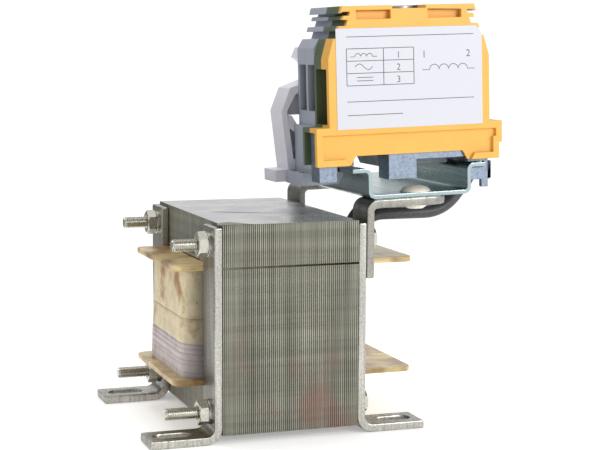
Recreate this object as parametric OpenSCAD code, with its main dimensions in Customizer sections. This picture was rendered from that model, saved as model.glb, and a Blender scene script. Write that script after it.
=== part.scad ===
// Single-phase line reactor: a gapped E and I core with one coil, strip feet and a short terminal rail.
// X runs along the lamination stack, Y across the laminations, Z up. The feet stand on Z = 0.

/* [Core] */
// Length of the lamination stack
core_stack = 34; // [26:1:46]
// Width of the laminations
core_w = 60; // [56:1:70]
// Width of a yoke and of an outer leg
leg_w = 10; // [9:0.5:11]
// Height of the windows, up to the gap sheet
window_h = 29.5; // [25:0.5:38]
// Thickness of the gap sheet
gap_t = 0.5; // [0.3:0.1:2]
// Thickness of one lamination
lam_t = 0.5; // [0.4:0.05:1]
// Depth of the seam between two laminations
seam_depth = 0.1; // [0.05:0.01:0.15]

/* [Clamping] */
// Diameter of the clamping bolts
bolt_d = 3; // [2.5:0.1:3.5]
// Width across flats of the nuts and bolt heads
hex_af = 5.5; // [5:0.1:6]
// Height of a nut
nut_h = 2.4; // [1.8:0.1:3.5]
// Height of a bolt head
head_h = 2; // [1.5:0.1:3]
// Length of a lower bolt past its nut
bolt_tail = 8; // [4:0.5:12]
// Diameter of a washer
washer_d = 6; // [5:0.1:6]
// Thickness of a washer
washer_t = 0.5; // [0.3:0.1:1]
// Radial clearance of a bolt in its holes
bolt_fit = 0.2; // [0.1:0.05:0.4]
// Radial clearance of a bolt in its nut and washer
thread_fit = 0.05; // [0.02:0.01:0.1]

/* [Feet] */
// Width of the foot and bracket strips
strip_w = 10; // [8:0.5:10]
// Thickness of the strips
strip_t = 2; // [1.5:0.1:2.5]
// Inner bend radius of a foot
foot_bend = 2; // [1.5:0.1:3]
// Height that the bend reaches above the underside of the core
bend_rise = 2; // [1:0.1:2]
// Length of a foot from the outer face of its leg
foot_len = 15.5; // [15:0.5:20]
// Gap between the top of a leg and the top of the core
leg_short = 0.7; // [0.2:0.1:1.5]
// Width of a fixing slot
slot_w = 4; // [3:0.1:5]
// Overall length of a fixing slot
slot_len = 9; // [7:0.5:10]
// Distance from the outer face of a leg to the slot's centre
slot_out = 9; // [8:0.5:9.5]

/* [Coil] */
// Thickness of the bobbin flanges
flange_t = 1.3; // [1:0.1:2]
// Wall of the bobbin tube
tube_t = 1.2; // [0.8:0.1:1.5]
// Clearance between the bobbin and the core
bobbin_fit = 0.2; // [0.1:0.05:0.4]
// Reach of the flanges past the stack on the nut side
flange_left = 9; // [8.5:0.5:12]
// Reach of the flanges past the stack on the lead side
flange_right = 18.5; // [12:0.5:22]
// Height of the coil on the tube, at the ends of the stack
coil_build = 6.4; // [5:0.1:7]
// Gap between the coil and an outer leg
coil_gap = 1; // [0.5:0.1:2]
// Radius of the coil's outer corners
coil_r = 6; // [4:0.5:7]
// Thickness of the paper wrap
wrap_t = 0.6; // [0.4:0.1:1]
// Clearance between the winding and its wrap
wrap_fit = 0.05; // [0.02:0.01:0.1]

/* [Rail] */
// Width over the rail's flanges
rail_w = 35; // [34:0.5:36]
// Width over the rail's channel
rail_channel = 27; // [26:0.5:28]
// Height of the rail
rail_h = 7.5; // [7:0.1:8]
// Sheet thickness of the rail
rail_t = 1; // [0.8:0.1:1.2]
// Inner bend radius of the rail
rail_bend = 0.8; // [0.5:0.1:1]
// Length of the rail
rail_len = 57; // [57:1:80]
// Upward lean of the rail away from the core, in degrees
rail_lean = 1.8; // [0:0.1:3]
// Distance from the end of the stack to the middle of the rail
rail_out = 16.5; // [16:0.5:19]
// Height of the rail's underside above the core, at its middle
rail_up = 5.1; // [5:0.1:8]
// Length of a bracket's leg below the upper bolts
bracket_hang = 9.2; // [6:0.2:12]
// Inner bend radius of a bracket
bracket_bend = 1; // [0.8:0.1:1.5]
// Reach of a bracket past the middle of the rail
bracket_past = 5.4; // [4:0.2:10]
// Diameter of the rivet shanks
rivet_d = 4; // [3:0.1:4.5]
// Diameter of the rivet heads
rivet_head_d = 6.4; // [5.5:0.1:6.8]
// Height of the rivet heads
rivet_head_h = 1.3; // [1:0.1:1.6]
// Diameter of the flared rivet tails
rivet_tail_d = 4.8; // [4.6:0.1:6]
// Height of the rivet tails
rivet_tail_h = 1.2; // [0.8:0.1:1.4]

/* [Terminal block outline] */
// Middle of the terminals, to the right of the rail's middle
mid = -2.6; // [-3:0.1:-2]
// Height of the top of the terminals above the rail's underside
block_top = 46.2; // [46:0.2:50]
// Half width of the body at the wire entries
body_half = 21; // [20.6:0.2:22]
// Height of the shoulders under the wire entries
shoulder_z = 17.6; // [17.4:0.1:18]
// Half width of the earth terminal at its neck
neck_half = 15; // [14:0.5:16]
// Height of the neck
neck_z = 43.8; // [43:0.1:44]
// Reach of the left top hook past the neck
hook_left = 2.4; // [1:0.1:3]
// Reach of the right top hook past the neck
hook_right = 1; // [0.5:0.1:3]
// Height of the top of the left wire entries
entry_top = 31.8; // [30.5:0.2:32.4]
// Reach of the left lip over the wire entry
lip_out = 1.5; // [0.5:0.1:2]
// Height of the tip of the left lip
lip_z = 33.7; // [33:0.1:35]
// Height of the top of the left lip
lip_top = 37.6; // [36.5:0.1:39]
// Height of the brow on the right side
brow_z = 34; // [33:0.1:36]
// Half width of the earth terminal's shoulders
shoulder_half = 24.3; // [24:0.1:25]
// Height of the undersides of the earth terminal
earth_low = 8.4; // [8:0.1:8.6]
// Half width of the hollow over the rail
recess_half = 14.5; // [14:0.1:15]
// Height of the hollow over the rail
recess_z = 11.1; // [10.5:0.1:11.4]
// Slope of the hollow's ends
recess_slope = 1.3; // [0.5:0.1:1.6]
// Depth of the step at the earth terminal's right end
step_in = 0.8; // [0.4:0.1:1]
// Height of that step
step_z = 12.3; // [11.5:0.1:13]

/* [Terminals] */
// Wall thickness of the plastic housings
wall = 1.2; // [1:0.1:1.4]
// Front wall of the yellow cover
front_wall = 1.6; // [1.4:0.1:2]
// Clearance between pieces that are pushed together
fit = 0.2; // [0.1:0.05:0.3]
// Width of the earth terminal along the rail
earth_w = 10; // [9.6:0.2:12]
// Width of a feed-through terminal along the rail
terminal_w = 6; // [5.8:0.2:8]
// Width of the end stop along the rail
stop_w = 9; // [8:0.5:12]
// Reach of the earth terminal past the front end of the rail
row_overhang = 0.5; // [0:0.1:1]
// Half width of a feed-through terminal at its top
top_half = 17; // [16.5:0.1:18]
// Height of the hoods over the feed-through wire entries
hood_z = 36; // [35:0.2:37]
// Half width of a feed-through terminal below its shoulders
lower_half = 22.1; // [21.8:0.1:22.6]
// Half width over the plastic feet
foot_half = 24.2; // [23.6:0.1:25]
// Height of the top of the plastic feet
foot_top = 6.4; // [6:0.1:6.5]
// Height of the underside of the plastic feet
foot_low = 3.2; // [2.5:0.1:4]
// Bite of the feet under the rail's flanges
foot_bite = 2; // [1:0.1:2.5]
// Depth of the marker grooves from the slanted sides
groove_in = 3.2; // [2:0.1:3.5]
// Height of a marker groove
groove_h = 2.5; // [1.5:0.1:2.8]
// Height of the rib between the marker grooves
groove_rib = 1.1; // [0.8:0.1:1.5]
// Distance from the top to the upper marker groove
groove_drop = 1.4; // [1:0.1:1.8]
// Height of the sill of the feed-through wire entries
sill_z = 21.2; // [20:0.1:21.5]
// Length of a release slot in a plastic foot
release_l = 1.8; // [1:0.1:2]
// Depth of a release slot
release_depth = 2; // [1:0.1:2.5]

/* [Front of the earth terminal] */
// Depth of the sunk panel in the yellow cover
panel_depth = 0.8; // [0.4:0.1:1]
// Height of the panel's upper edge
panel_top = 15.8; // [15:0.1:16.5]
// Rim left of, right of and under the panel
panel_rim = 1.6; // [1:0.1:2]
// Width of a window under the top edge
window_w = 8.8; // [6:0.2:9]
// Distance from the middle to the middle of a window
window_x = 9.2; // [9:0.1:10]
// Height of the windows' lower edge
window_low = 43.5; // [42.5:0.1:43.8]
// Height of the windows' upper edge
window_high = 45.6; // [45.2:0.1:45.7]
// Width of the notch over the middle screw
notch_w = 8.6; // [7:0.1:9]
// Depth of that notch
notch_depth = 0.8; // [0.4:0.1:1]
// Left end of the label, from the middle of the terminal
label_left = 18.7; // [17:0.1:19.5]
// Right end of the label, from the middle of the terminal
label_right = 19.1; // [17:0.1:19.5]
// Height of the label's lower edge
label_low = 17.1; // [16.6:0.1:20]
// Height of the label's upper edge
label_high = 40.9; // [36:0.1:42]
// Thickness of the label
label_t = 0.12; // [0.08:0.02:0.2]
// Cut-off at the label's upper right corner
label_corner = 1.6; // [0.5:0.1:3]

/* [Earth foot] */
// Thickness of the stamped foot
foot_plate_t = 1.5; // [1:0.1:1.6]
// Height of the foot's upper edge
bar_seat = 16.1; // [15.5:0.1:16.2]
// Height of the foot's cross bar
cross_h = 3.6; // [3:0.1:3.7]
// Width of the left leg
leg_plate_w = 4.5; // [3:0.1:5]
// Height of the lower end of the left leg
leg_plate_low = 4.5; // [3.5:0.1:6]
// Thickness of the folded edges
fold_t = 1; // [0.8:0.1:1.5]
// Depth of the fold on the left leg
leg_fold = 5.7; // [4:0.1:6]
// Depth of the fold on the tongue
tongue_fold = 6.6; // [5:0.1:6.8]
// Left edge of the tongue, from the middle of the rail
tongue_left = 7.7; // [7:0.1:9]
// Width of the tongue
tongue_w = 7.4; // [6:0.1:9]
// Height of the lower end of the tongue
tongue_low = 4.4; // [3.5:0.1:6]
// Height of the plate's lower edge over the channel
plate_low = 9; // [8.5:0.1:10]
// Reach of the claw past the rail
claw_out = 1.2; // [0.8:0.1:1.4]
// Height of the lower edge of the claw's tooth
tooth_low = 3.2; // [2.5:0.1:4]
// Height of the claw's lower tip
claw_low = 1.3; // [0.8:0.1:2]
// Width of the claw's tip
claw_tip_w = 1.8; // [1:0.1:2]
// Thickness of the curled edge beside the claw
curl_t = 0.4; // [0.3:0.1:0.5]
// Gap inside the curled edge
curl_gap = 0.5; // [0.3:0.1:0.6]
// Height of the curled edge
curl_h = 4.5; // [3:0.1:5]

/* [Clamps] */
// Distance from the middle of a terminal to its clamp screws
clamp_x = 9.2; // [9:0.1:10]
// Length of a wire clamp
cage_l = 6; // [5:0.2:7]
// Wall of a wire clamp
cage_wall = 0.6; // [0.4:0.1:0.7]
// Height of an earth clamp
earth_cage_h = 12; // [10:0.2:13]
// Height of the underside of a feed-through clamp
cage_z = 20.5; // [19.5:0.1:20.6]
// Height of a feed-through clamp
cage_h = 13.5; // [12:0.2:14]
// Height of the underside of a feed-through bar
bar_z = 28; // [27.5:0.1:28.5]
// Thickness of the conductor bars
bar_t = 1.3; // [1:0.1:1.5]
// Half length of the conductor bars
bar_half = 15.5; // [14:0.1:17]
// Diameter of the feed-through clamp screws
screw_d = 2.6; // [2.2:0.1:2.8]
// Diameter of their heads
screw_head_d = 4; // [3.5:0.1:4.2]
// Diameter of the earth screws
earth_screw_d = 3.5; // [3:0.1:3.6]
// Diameter of the earth screws' heads
earth_head_d = 6; // [5:0.1:6.2]
// Height of all clamp screw heads
screw_head_h = 2.4; // [1.8:0.1:3]
// Length of the screw shanks above the clamps
screw_up = 4; // [2:0.2:5]
// Width of the screwdriver slots
driver_w = 0.8; // [0.6:0.1:1]
// Depth of the screwdriver slots
driver_depth = 1; // [0.6:0.1:1.2]
// Depth of the middle screw's head below the top
middle_drop = 0.3; // [0.2:0.1:0.6]

/* [End stop] */
// Wall of the end stop
stop_wall = 1.6; // [1.2:0.1:2]
// Thickness of the web in the middle of the end stop
web_t = 1.8; // [1.2:0.1:2.5]
// Height of the head of the end stop
stop_head_z = 37; // [36:0.1:39]
// Half width of the head at its top
stop_head_top = 19.9; // [18:0.1:21]
// Half width of the head at its widest
stop_head_half = 22; // [21:0.1:23]
// Height of the head's widest place
stop_head_mid = 34.2; // [33:0.1:35]
// Half width of the throat
throat_half = 17.9; // [16:0.1:19]
// Height of the throat
throat_z = 29; // [28:0.1:30]
// Half width of the arms at their top
arm_half = 21.7; // [20.5:0.1:23]
// Height of the top of the arms
arm_z = 26.4; // [25:0.1:27]
// Half width of the arms at their bend
apex_half = 25.1; // [24.2:0.1:26]
// Height of the bend
apex_z = 21; // [20:0.1:22]
// Half width of the arms at the feet
base_half = 23.9; // [23:0.1:25]
// Half width over the end stop's feet
stop_foot_half = 27.5; // [26.5:0.1:28]
// Height of the floor inside the end stop
stop_floor = 9; // [8.8:0.1:10]
// Half width of the boss that holds the screw
boss_half = 15; // [13:0.1:16]
// Height of the boss
boss_h = 7.4; // [7:0.1:8]
// Diameter of the end stop's screw
stop_screw_d = 3; // [2.5:0.1:3.5]
// Diameter of that screw's head
stop_head_d = 4.6; // [4:0.1:5]
// Length of that screw's shank
stop_screw_l = 9; // [6:0.5:12]

/* [Leads] */
// Diameter of the sleeved leads
lead_d = 3; // [2.5:0.1:3]
// Distance from the end of the stack to the leads
lead_out = 5.2; // [4:0.1:5.6]
// Gap between the back lead and the end stop
lead_clear = 0.7; // [0.5:0.1:1]
// Gap between the two leads
lead_apart = 0.3; // [0.3:0.1:0.5]
// Bend radius where the leads turn out over the coil
lead_bend = 3; // [2.5:0.1:4]
// Distance from the rail's underside down to the middle of the front lead
lead_drop = 5.7; // [5.2:0.1:6]
// Height of the back lead above the front one
lead_step = 2.6; // [1:0.1:2.7]
// Bend radius of the front lead under the rail's outer edge
lead_sweep = 13.6; // [11:0.2:14]
// Angle of that bend
sweep_angle = 56; // [52:1:58]
// Height above the rail's underside where the leads turn upright
knee_up = 7.9; // [7.5:0.1:9]
// Bend radius into the upright stretch
lead_rise = 6; // [5:0.2:7]
// Bend radius of the side step on the upright stretch
lead_swing = 8; // [6:0.2:9]
// Straight length next to the side step
lead_short = 1; // [0.8:0.1:1.2]
// Bend radius into the terminals
lead_turn = 4; // [3.5:0.1:4.5]
// Gap between the upright leads and the line of the earth terminal's shoulder
lead_gap = 1.7; // [1.4:0.1:2.5]
// Diameter of the crimped wire ends
ferrule_d = 2; // [1.6:0.1:2.4]
// Length of the crimped wire ends
ferrule_l = 8; // [6:0.2:10]

/* [Hidden] */
$fn = 64;
// Amount by which a cut runs past the face that it opens
over = 1;
// Facets of a bend in a sheet section
bend_steps = 10;

// Core and clamping
stack_end = core_stack / 2;
leg_in = core_w / 2 - leg_w;
core_z = strip_t + foot_bend - bend_rise;
sill_core = core_z + leg_w;
e_top = sill_core + window_h;
yoke_z = e_top + gap_t;
core_top = yoke_z + leg_w;
lam_count = floor(core_stack / lam_t);
lam_pitch = core_stack / lam_count;
bolt_y = core_w / 2 - leg_w / 2;
bolt_low = core_z + leg_w / 2;
bolt_high = core_top - leg_w / 2;
bolt_hole = bolt_d + 2 * bolt_fit;
strip_out = stack_end + strip_t;
bracket_face = strip_out + strip_t;
bolt_len = core_stack + 2 * strip_t + washer_t + nut_h + bolt_tail;

// Coil
tube_x = stack_end + bobbin_fit;
tube_y = leg_w + bobbin_fit;
coil_x = tube_x + tube_t + coil_build;
coil_y = leg_in - coil_gap;
bobbin_low = sill_core + bobbin_fit;
bobbin_high = e_top - bobbin_fit;
coil_low = bobbin_low + flange_t;
coil_high = bobbin_high - flange_t;
lead_x = stack_end + lead_out;

// Rail and its brackets
rail_x = stack_end + rail_out;
rail_z = core_top + rail_up;
rail_edge = rail_w / 2;
rail_wall = rail_channel / 2;
rail_under = rail_h - rail_t;
rail_front = -rail_len / 2;
bracket_r = bracket_bend + strip_t;
bracket_cx = bracket_face + bracket_bend;
bracket_bend_x = (bracket_cx - rail_x - bracket_r * sin(rail_lean)) / cos(rail_lean);
bracket_cz = rail_z + bracket_bend_x * sin(rail_lean) - bracket_r * cos(rail_lean);

// Row of terminals along the rail
earth_y = rail_front - row_overhang;
earth_half = earth_w / 2;
earth_split = earth_y + earth_half;
terminal_y = [earth_y + earth_w, earth_y + earth_w + terminal_w];
stop_y = terminal_y[1] + terminal_w;
earth_in = earth_y + front_wall;
earth_out = earth_y + earth_w - wall;
earth_mid = (earth_in + earth_out) / 2;
cavity_w = terminal_w - wall;
slant_top = block_top - groove_drop;

// Earth foot and clamps
plate_y = earth_in + fit;
leg_left = mid - shoulder_half + wall + fit;
claw_right = rail_edge + claw_out;
earth_cage_z = bar_seat + bar_t;
earth_cage_w = earth_out - earth_in - 2 * fit;
cage_w = cavity_w - 2 * fit;

// Leads
lead_back_y = stop_y - lead_clear - lead_d / 2;
lead_y = [lead_back_y - lead_d - lead_apart, lead_back_y];
knee_z = rail_z + knee_up;
lead_rise_x = rail_x + mid + shoulder_half + lead_gap + lead_d / 2;
lead_entry_z = bar_z - ferrule_d / 2 - thread_fit;
turn_end_x = lead_rise_x - lead_turn * (1 + sin(rail_lean));
turn_end_local = ((turn_end_x - rail_x) + lead_entry_z * sin(rail_lean)) / cos(rail_lean);
turn_end_z = rail_z + turn_end_local * sin(rail_lean) + lead_entry_z * cos(rail_lean);
upright = turn_end_z - lead_turn * cos(rail_lean) - knee_z - lead_rise * cos(sweep_angle);
sleeve_end = mid + bar_half + fit;

// Angle of the two bends that step a lead sideways
function swing(side) =
    let (k = 4 * lead_swing - side) 2 * atan((sqrt(lead_short * lead_short + side * k) - lead_short) / k);

// Stretches of a lead: straight length, bend radius, bend angle and the turn of the bend's plane before it
function lead_path(i) =
    let (z = rail_z - lead_drop + i * lead_step)
    let (r = lead_sweep - i * lead_step)
    let (slant = (knee_z - z - r * (1 - cos(sweep_angle))) / sin(sweep_angle))
    let (turn = swing(lead_y[i] - terminal_y[i] - cavity_w / 2))
    [
        [z - lead_bend - coil_high, 0, 0, 0],
        [0, lead_bend, 90, 0],
        [lead_rise_x - lead_x - lead_bend - r * sin(sweep_angle) - slant * cos(sweep_angle)
            - lead_rise * (1 - sin(sweep_angle)), 0, 0, 0],
        [0, -r, -sweep_angle, 0],
        [slant, 0, 0, 0],
        [0, -lead_rise, sweep_angle - 90, 0],
        [lead_short, 0, 0, 0],
        [0, lead_swing, turn, -90],
        [lead_short, 0, 0, 0],
        [0, -lead_swing, -turn, 0],
        [upright - lead_short - 2 * lead_swing * sin(turn) - lead_short * cos(turn), 0, 0, 90],
        [0, -lead_turn, -90 - rail_lean, 0],
        [turn_end_local - sleeve_end, 0, 0, 0]
    ];

function reversed(list) = [for (i = [len(list) - 1 : -1 : 0]) list[i]];
function arc(centre, r, from, to, steps) =
    [for (i = [0 : steps]) centre + r * [cos(from + (to - from) * i / steps), sin(from + (to - from) * i / steps)]];

// Frame of the leaning rail: origin under the middle of the rail, Z square to its flanges
module on_rail() translate([rail_x, 0, rail_z]) rotate([0, -rail_lean, 0]) children();

// Prism of an X-Z outline, from y0 along Y
module along_y(y0, w) translate([0, y0 + w, 0]) rotate([90, 0, 0]) linear_extrude(w) children();

// Box between two corners
module box(a, b) translate(a) cube(b - a);

// Upright plate with round corners, centred on Z
module round_block(half_x, half_y, r, h) {
    linear_extrude(h) union() {
        square([2 * half_x - 2 * r, 2 * half_y], center = true);
        square([2 * half_x, 2 * half_y - 2 * r], center = true);
        for (sx = [-1, 1], sy = [-1, 1]) translate([sx * (half_x - r), sy * (half_y - r)]) circle(r);
    }
}

// Edge of the stack with a seam between each pair of laminations
function lam_x(i) = -stack_end + i * lam_pitch;
function lam_edge(level, out) = concat(
    [for (i = [0 : lam_count - 1]) each [
        [lam_x(i), level - out * seam_depth],
        [lam_x(i) + seam_depth, level],
        [lam_x(i + 1) - seam_depth, level]
    ]],
    [[stack_end, level - out * seam_depth]]
);

module stack_block(z0, h) {
    translate([0, 0, z0]) linear_extrude(h)
        polygon(concat(lam_edge(-core_w / 2, -1), reversed(lam_edge(core_w / 2, 1))));
}

module stack_bores(z) {
    for (s = [-1, 1]) translate([0, s * bolt_y, z]) rotate([0, 90, 0])
        cylinder(d = bolt_hole, h = core_stack + 2 * over, center = true);
}

module e_core() color("#787a6e") difference() {
    stack_block(core_z, e_top - core_z);
    for (s = [-1, 1]) translate([0, s * (leg_w + leg_in) / 2, sill_core + window_h])
        cube([core_stack + 2 * over, leg_in - leg_w, 2 * window_h], center = true);
    stack_bores(bolt_low);
}

module i_yoke() color("#84867a") difference() {
    intersection() {
        stack_block(yoke_z, leg_w);
        along_y(-core_w / 2, core_w)
            polygon(concat([[stack_end, yoke_z], [-stack_end, yoke_z]], lam_edge(core_top, 1)));
    }
    stack_bores(bolt_high);
}

module gap_sheet() color("#2e2c28") box([-stack_end, -core_w / 2, e_top], [stack_end, core_w / 2, yoke_z]);

module bobbin() color("#cdaf78") difference() {
    union() {
        box([-tube_x - tube_t, -tube_y - tube_t, bobbin_low], [tube_x + tube_t, tube_y + tube_t, bobbin_high]);
        for (z = [bobbin_low, coil_high])
            box([-stack_end - flange_left, bobbin_fit - leg_in, z],
                [stack_end + flange_right, leg_in - bobbin_fit, z + flange_t]);
    }
    box([-tube_x, -tube_y, bobbin_low - over], [tube_x, tube_y, bobbin_high + over]);
    box([lead_x - lead_d / 2 - fit, lead_y[0], coil_high - over], [lead_x + lead_d / 2 + fit, lead_y[1], e_top]);
    for (y = lead_y) translate([lead_x, y, coil_high - over]) cylinder(d = lead_d + 2 * fit, h = flange_t + 2 * over);
}

module winding() color("#b06a3a") translate([0, 0, coil_low]) difference() {
    round_block(coil_x - wrap_t - wrap_fit, coil_y - wrap_t - wrap_fit, coil_r - wrap_t, coil_high - coil_low);
    box([-tube_x - tube_t, -tube_y - tube_t, -over], [tube_x + tube_t, tube_y + tube_t, window_h]);
}

module coil_wrap() color("#e1d7b4") translate([0, 0, coil_low]) difference() {
    round_block(coil_x, coil_y, coil_r, coil_high - coil_low);
    translate([0, 0, -over])
        round_block(coil_x - wrap_t, coil_y - wrap_t, coil_r - wrap_t, coil_high - coil_low + 2 * over);
}

// Quarter or part bend of a strip about the Y axis, between two angles in the X-Z plane
module strip_turn(r, from, to) {
    rotate([90, 0, 0]) rotate([0, 0, from]) rotate_extrude(angle = to - from)
        translate([r, -strip_w / 2]) square([strip_t, strip_w]);
}

module foot_strip() difference() {
    union() {
        box([stack_end, -strip_w / 2, strip_t + foot_bend], [strip_out, strip_w / 2, core_top - leg_short]);
        box([strip_out + foot_bend, -strip_w / 2, 0], [strip_out + foot_len, strip_w / 2, strip_t]);
        translate([strip_out + foot_bend, 0, strip_t + foot_bend]) strip_turn(foot_bend, 180, 270);
    }
    translate([strip_out + slot_out, 0, strip_t / 2]) {
        cube([slot_len - slot_w, slot_w, strip_t + 2 * over], center = true);
        for (s = [-1, 1]) translate([s * (slot_len - slot_w) / 2, 0, 0])
            cylinder(d = slot_w, h = strip_t + 2 * over, center = true);
    }
    for (z = [bolt_low, bolt_high]) translate([stack_end - over, 0, z]) rotate([0, 90, 0])
        cylinder(d = bolt_hole, h = strip_t + 2 * over);
}

module foot_at(side_x, side_y) color("#b9b7a8") translate([0, side_y * bolt_y, 0])
    rotate([0, 0, side_x > 0 ? 0 : 180]) foot_strip();

module foot_front_left() foot_at(-1, -1);
module foot_back_left() foot_at(-1, 1);
module foot_front_right() foot_at(1, -1);
module foot_back_right() foot_at(1, 1);

// Places of the bolts: Y, Z and the face that the head bears on
bolt_places = [for (s = [-1, 1]) each [[s * bolt_y, bolt_low, strip_out], [s * bolt_y, bolt_high, bracket_face]]];
hex_d = hex_af / cos(30);
washer_x = -strip_out - washer_t;

module clamp_bolts() color("#cfcbb8") for (p = bolt_places) translate([p[2], p[0], p[1]]) rotate([0, 90, 0]) {
    cylinder(d = hex_d, h = head_h, $fn = 6);
    translate([0, 0, -bolt_len]) cylinder(d = bolt_d, h = bolt_len);
}

module clamp_washers() color("#c4c2b6") for (p = bolt_places) translate([washer_x, p[0], p[1]]) rotate([0, 90, 0])
    difference() {
        cylinder(d = washer_d, h = washer_t);
        translate([0, 0, -over]) cylinder(d = bolt_d + 2 * thread_fit, h = washer_t + 2 * over);
    }

module clamp_nuts() color("#c9c7bb") for (p = bolt_places) translate([washer_x - nut_h, p[0], p[1]])
    rotate([0, 90, 0]) difference() {
        cylinder(d = hex_d, h = nut_h, $fn = 6);
        translate([0, 0, -over]) cylinder(d = bolt_d + 2 * thread_fit, h = nut_h + 2 * over);
    }

// Side of a bracket: leg on the upper bolts, bend and flange under the rail
function off_rail(x, z) = [
    rail_x + x * cos(rail_lean) - z * sin(rail_lean),
    rail_z + x * sin(rail_lean) + z * cos(rail_lean)
];
bracket_side = concat(
    [[strip_out, bolt_high - bracket_hang]],
    arc([bracket_cx, bracket_cz], bracket_r, 180, 90 + rail_lean, bend_steps),
    [off_rail(bracket_past, 0), off_rail(bracket_past, -strip_t)],
    arc([bracket_cx, bracket_cz], bracket_bend, 90 + rail_lean, 180, bend_steps),
    [[bracket_face, bolt_high - bracket_hang]]
);

module rail_bracket(side) color("#a9a697") translate([0, side * bolt_y, 0]) difference() {
    along_y(-strip_w / 2, strip_w) polygon(bracket_side);
    translate([strip_out - over, 0, bolt_high]) rotate([0, 90, 0]) cylinder(d = bolt_hole, h = strip_t + 2 * over);
    on_rail() translate([0, 0, -strip_t - over]) cylinder(d = rivet_d + 2 * thread_fit, h = strip_t + 2 * over);
}

module rail_bracket_front() rail_bracket(-1);
module rail_bracket_back() rail_bracket(1);

// Half of the hat section, from the middle of the underside round to the middle of the channel floor
rail_r = rail_bend + rail_t;
low_bend = [rail_wall - rail_r, rail_r];
high_bend = [rail_wall + rail_bend, rail_h - rail_r];
rail_half = concat(
    arc(low_bend, rail_r, -90, 0, bend_steps),
    arc(high_bend, rail_bend, 180, 90, bend_steps),
    [[rail_edge, rail_under], [rail_edge, rail_h]],
    arc(high_bend, rail_r, 90, 180, bend_steps),
    arc(low_bend, rail_bend, 0, -90, bend_steps)
);

module mounting_rail() color("#8fa3a3") on_rail() difference() {
    along_y(rail_front, rail_len) polygon(concat(rail_half, reversed([for (p = rail_half) [-p[0], p[1]]])));
    for (s = [-1, 1]) translate([0, s * bolt_y, -over])
        cylinder(d = rivet_d + 2 * thread_fit, h = rail_t + 2 * over);
}

module rail_rivets() color("#d8d6cc") on_rail() for (s = [-1, 1]) translate([0, s * bolt_y, 0]) {
    dome_r = (pow(rivet_head_d / 2, 2) + pow(rivet_head_h, 2)) / (2 * rivet_head_h);
    translate([0, 0, -strip_t]) cylinder(d = rivet_d, h = rail_t + strip_t);
    intersection() {
        translate([0, 0, rail_t + rivet_head_h - dome_r]) sphere(dome_r);
        translate([0, 0, rail_t]) cylinder(d = rivet_head_d, h = rivet_head_h);
    }
    translate([0, 0, -strip_t - rivet_tail_h]) difference() {
        cylinder(d = rivet_tail_d, h = rivet_tail_h);
        translate([0, 0, -over]) cylinder(d1 = rivet_d, d2 = rivet_d / 2, h = rivet_tail_h + over / 2);
    }
}

// Outline of the earth terminal, drawn in by e on every side
function earth_upper_right(e) = [
    [mid - neck_half - hook_left + e, block_top - e],
    [mid + neck_half + hook_right - e, block_top - e],
    [mid + neck_half - e, neck_z],
    [mid + body_half - e, brow_z]
];
function earth_lower(e) = [
    [mid + body_half - e, shoulder_z - e],
    [mid + shoulder_half - e, shoulder_z - e],
    [mid + shoulder_half - e, step_z + e],
    [mid + shoulder_half - step_in - e, step_z + e],
    [mid + shoulder_half - step_in - e, earth_low + e],
    [mid + recess_half + recess_slope + e, earth_low + e],
    [mid + recess_half + e, recess_z + e],
    [mid - recess_half - e, recess_z + e],
    [mid - recess_half - recess_slope - e, earth_low + e],
    [mid - shoulder_half + e, earth_low + e],
    [mid - shoulder_half + e, shoulder_z - e],
    [mid - body_half + e, shoulder_z - e]
];
function earth_upper_left(e) = [
    [mid - body_half + e, entry_top],
    [mid - body_half - lip_out + e, lip_z],
    [mid - body_half + e, lip_top],
    [mid - neck_half + e, neck_z]
];
function earth_outline(e) = concat(earth_upper_right(e), earth_lower(e), earth_upper_left(e));

// Openings of the earth terminal: wire entries, left end, foot, screws and top notch
module earth_cuts() {
    reach = shoulder_half + lip_out + over;
    for (s = [-1, 1]) {
        x = [mid + s * (body_half - wall - over), mid + s * reach];
        box([min(x), earth_in, earth_cage_z], [max(x), earth_out, entry_top - fit]);
        translate([mid + s * clamp_x, earth_mid, neck_z]) cylinder(d = earth_head_d + 2 * fit, h = block_top);
    }
    box([mid - reach, earth_in, earth_low - over],
        [leg_left + fold_t + fit, earth_out, shoulder_z - wall]);
    box([leg_left, earth_in, earth_low - over],
        [leg_left + leg_plate_w + fit, earth_out, bar_seat]);
    box([-tongue_left - fit, earth_in, earth_low - over], [claw_right + curl_gap + curl_t + fit, earth_split, bar_seat]);
    translate([mid, earth_mid, neck_z]) cylinder(d = earth_head_d + 2 * fit, h = block_top);
    box([mid - notch_w / 2, earth_y - over, block_top - notch_depth],
        [mid + notch_w / 2, earth_y + earth_w + over, block_top + over]);
}

module earth_cover() color("#fbc95f") on_rail() difference() {
    along_y(earth_y, earth_half) polygon(earth_outline(0));
    along_y(earth_in, earth_half) polygon(earth_outline(wall));
    earth_cuts();
    along_y(earth_y - over, panel_depth + over) difference() {
        polygon(earth_outline(panel_rim));
        translate([mid - 2 * body_half, panel_top]) square([4 * body_half, block_top]);
    }
    for (s = [-1, 1])
        box([mid + s * window_x - window_w / 2, earth_y - over, window_low],
            [mid + s * window_x + window_w / 2, earth_in + over, window_high]);
}

module earth_housing() color("#3c4632") on_rail() difference() {
    along_y(earth_split, earth_half) polygon(earth_outline(0));
    along_y(earth_split - over, earth_half - wall + over) polygon(earth_outline(wall));
    earth_cuts();
}

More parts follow.
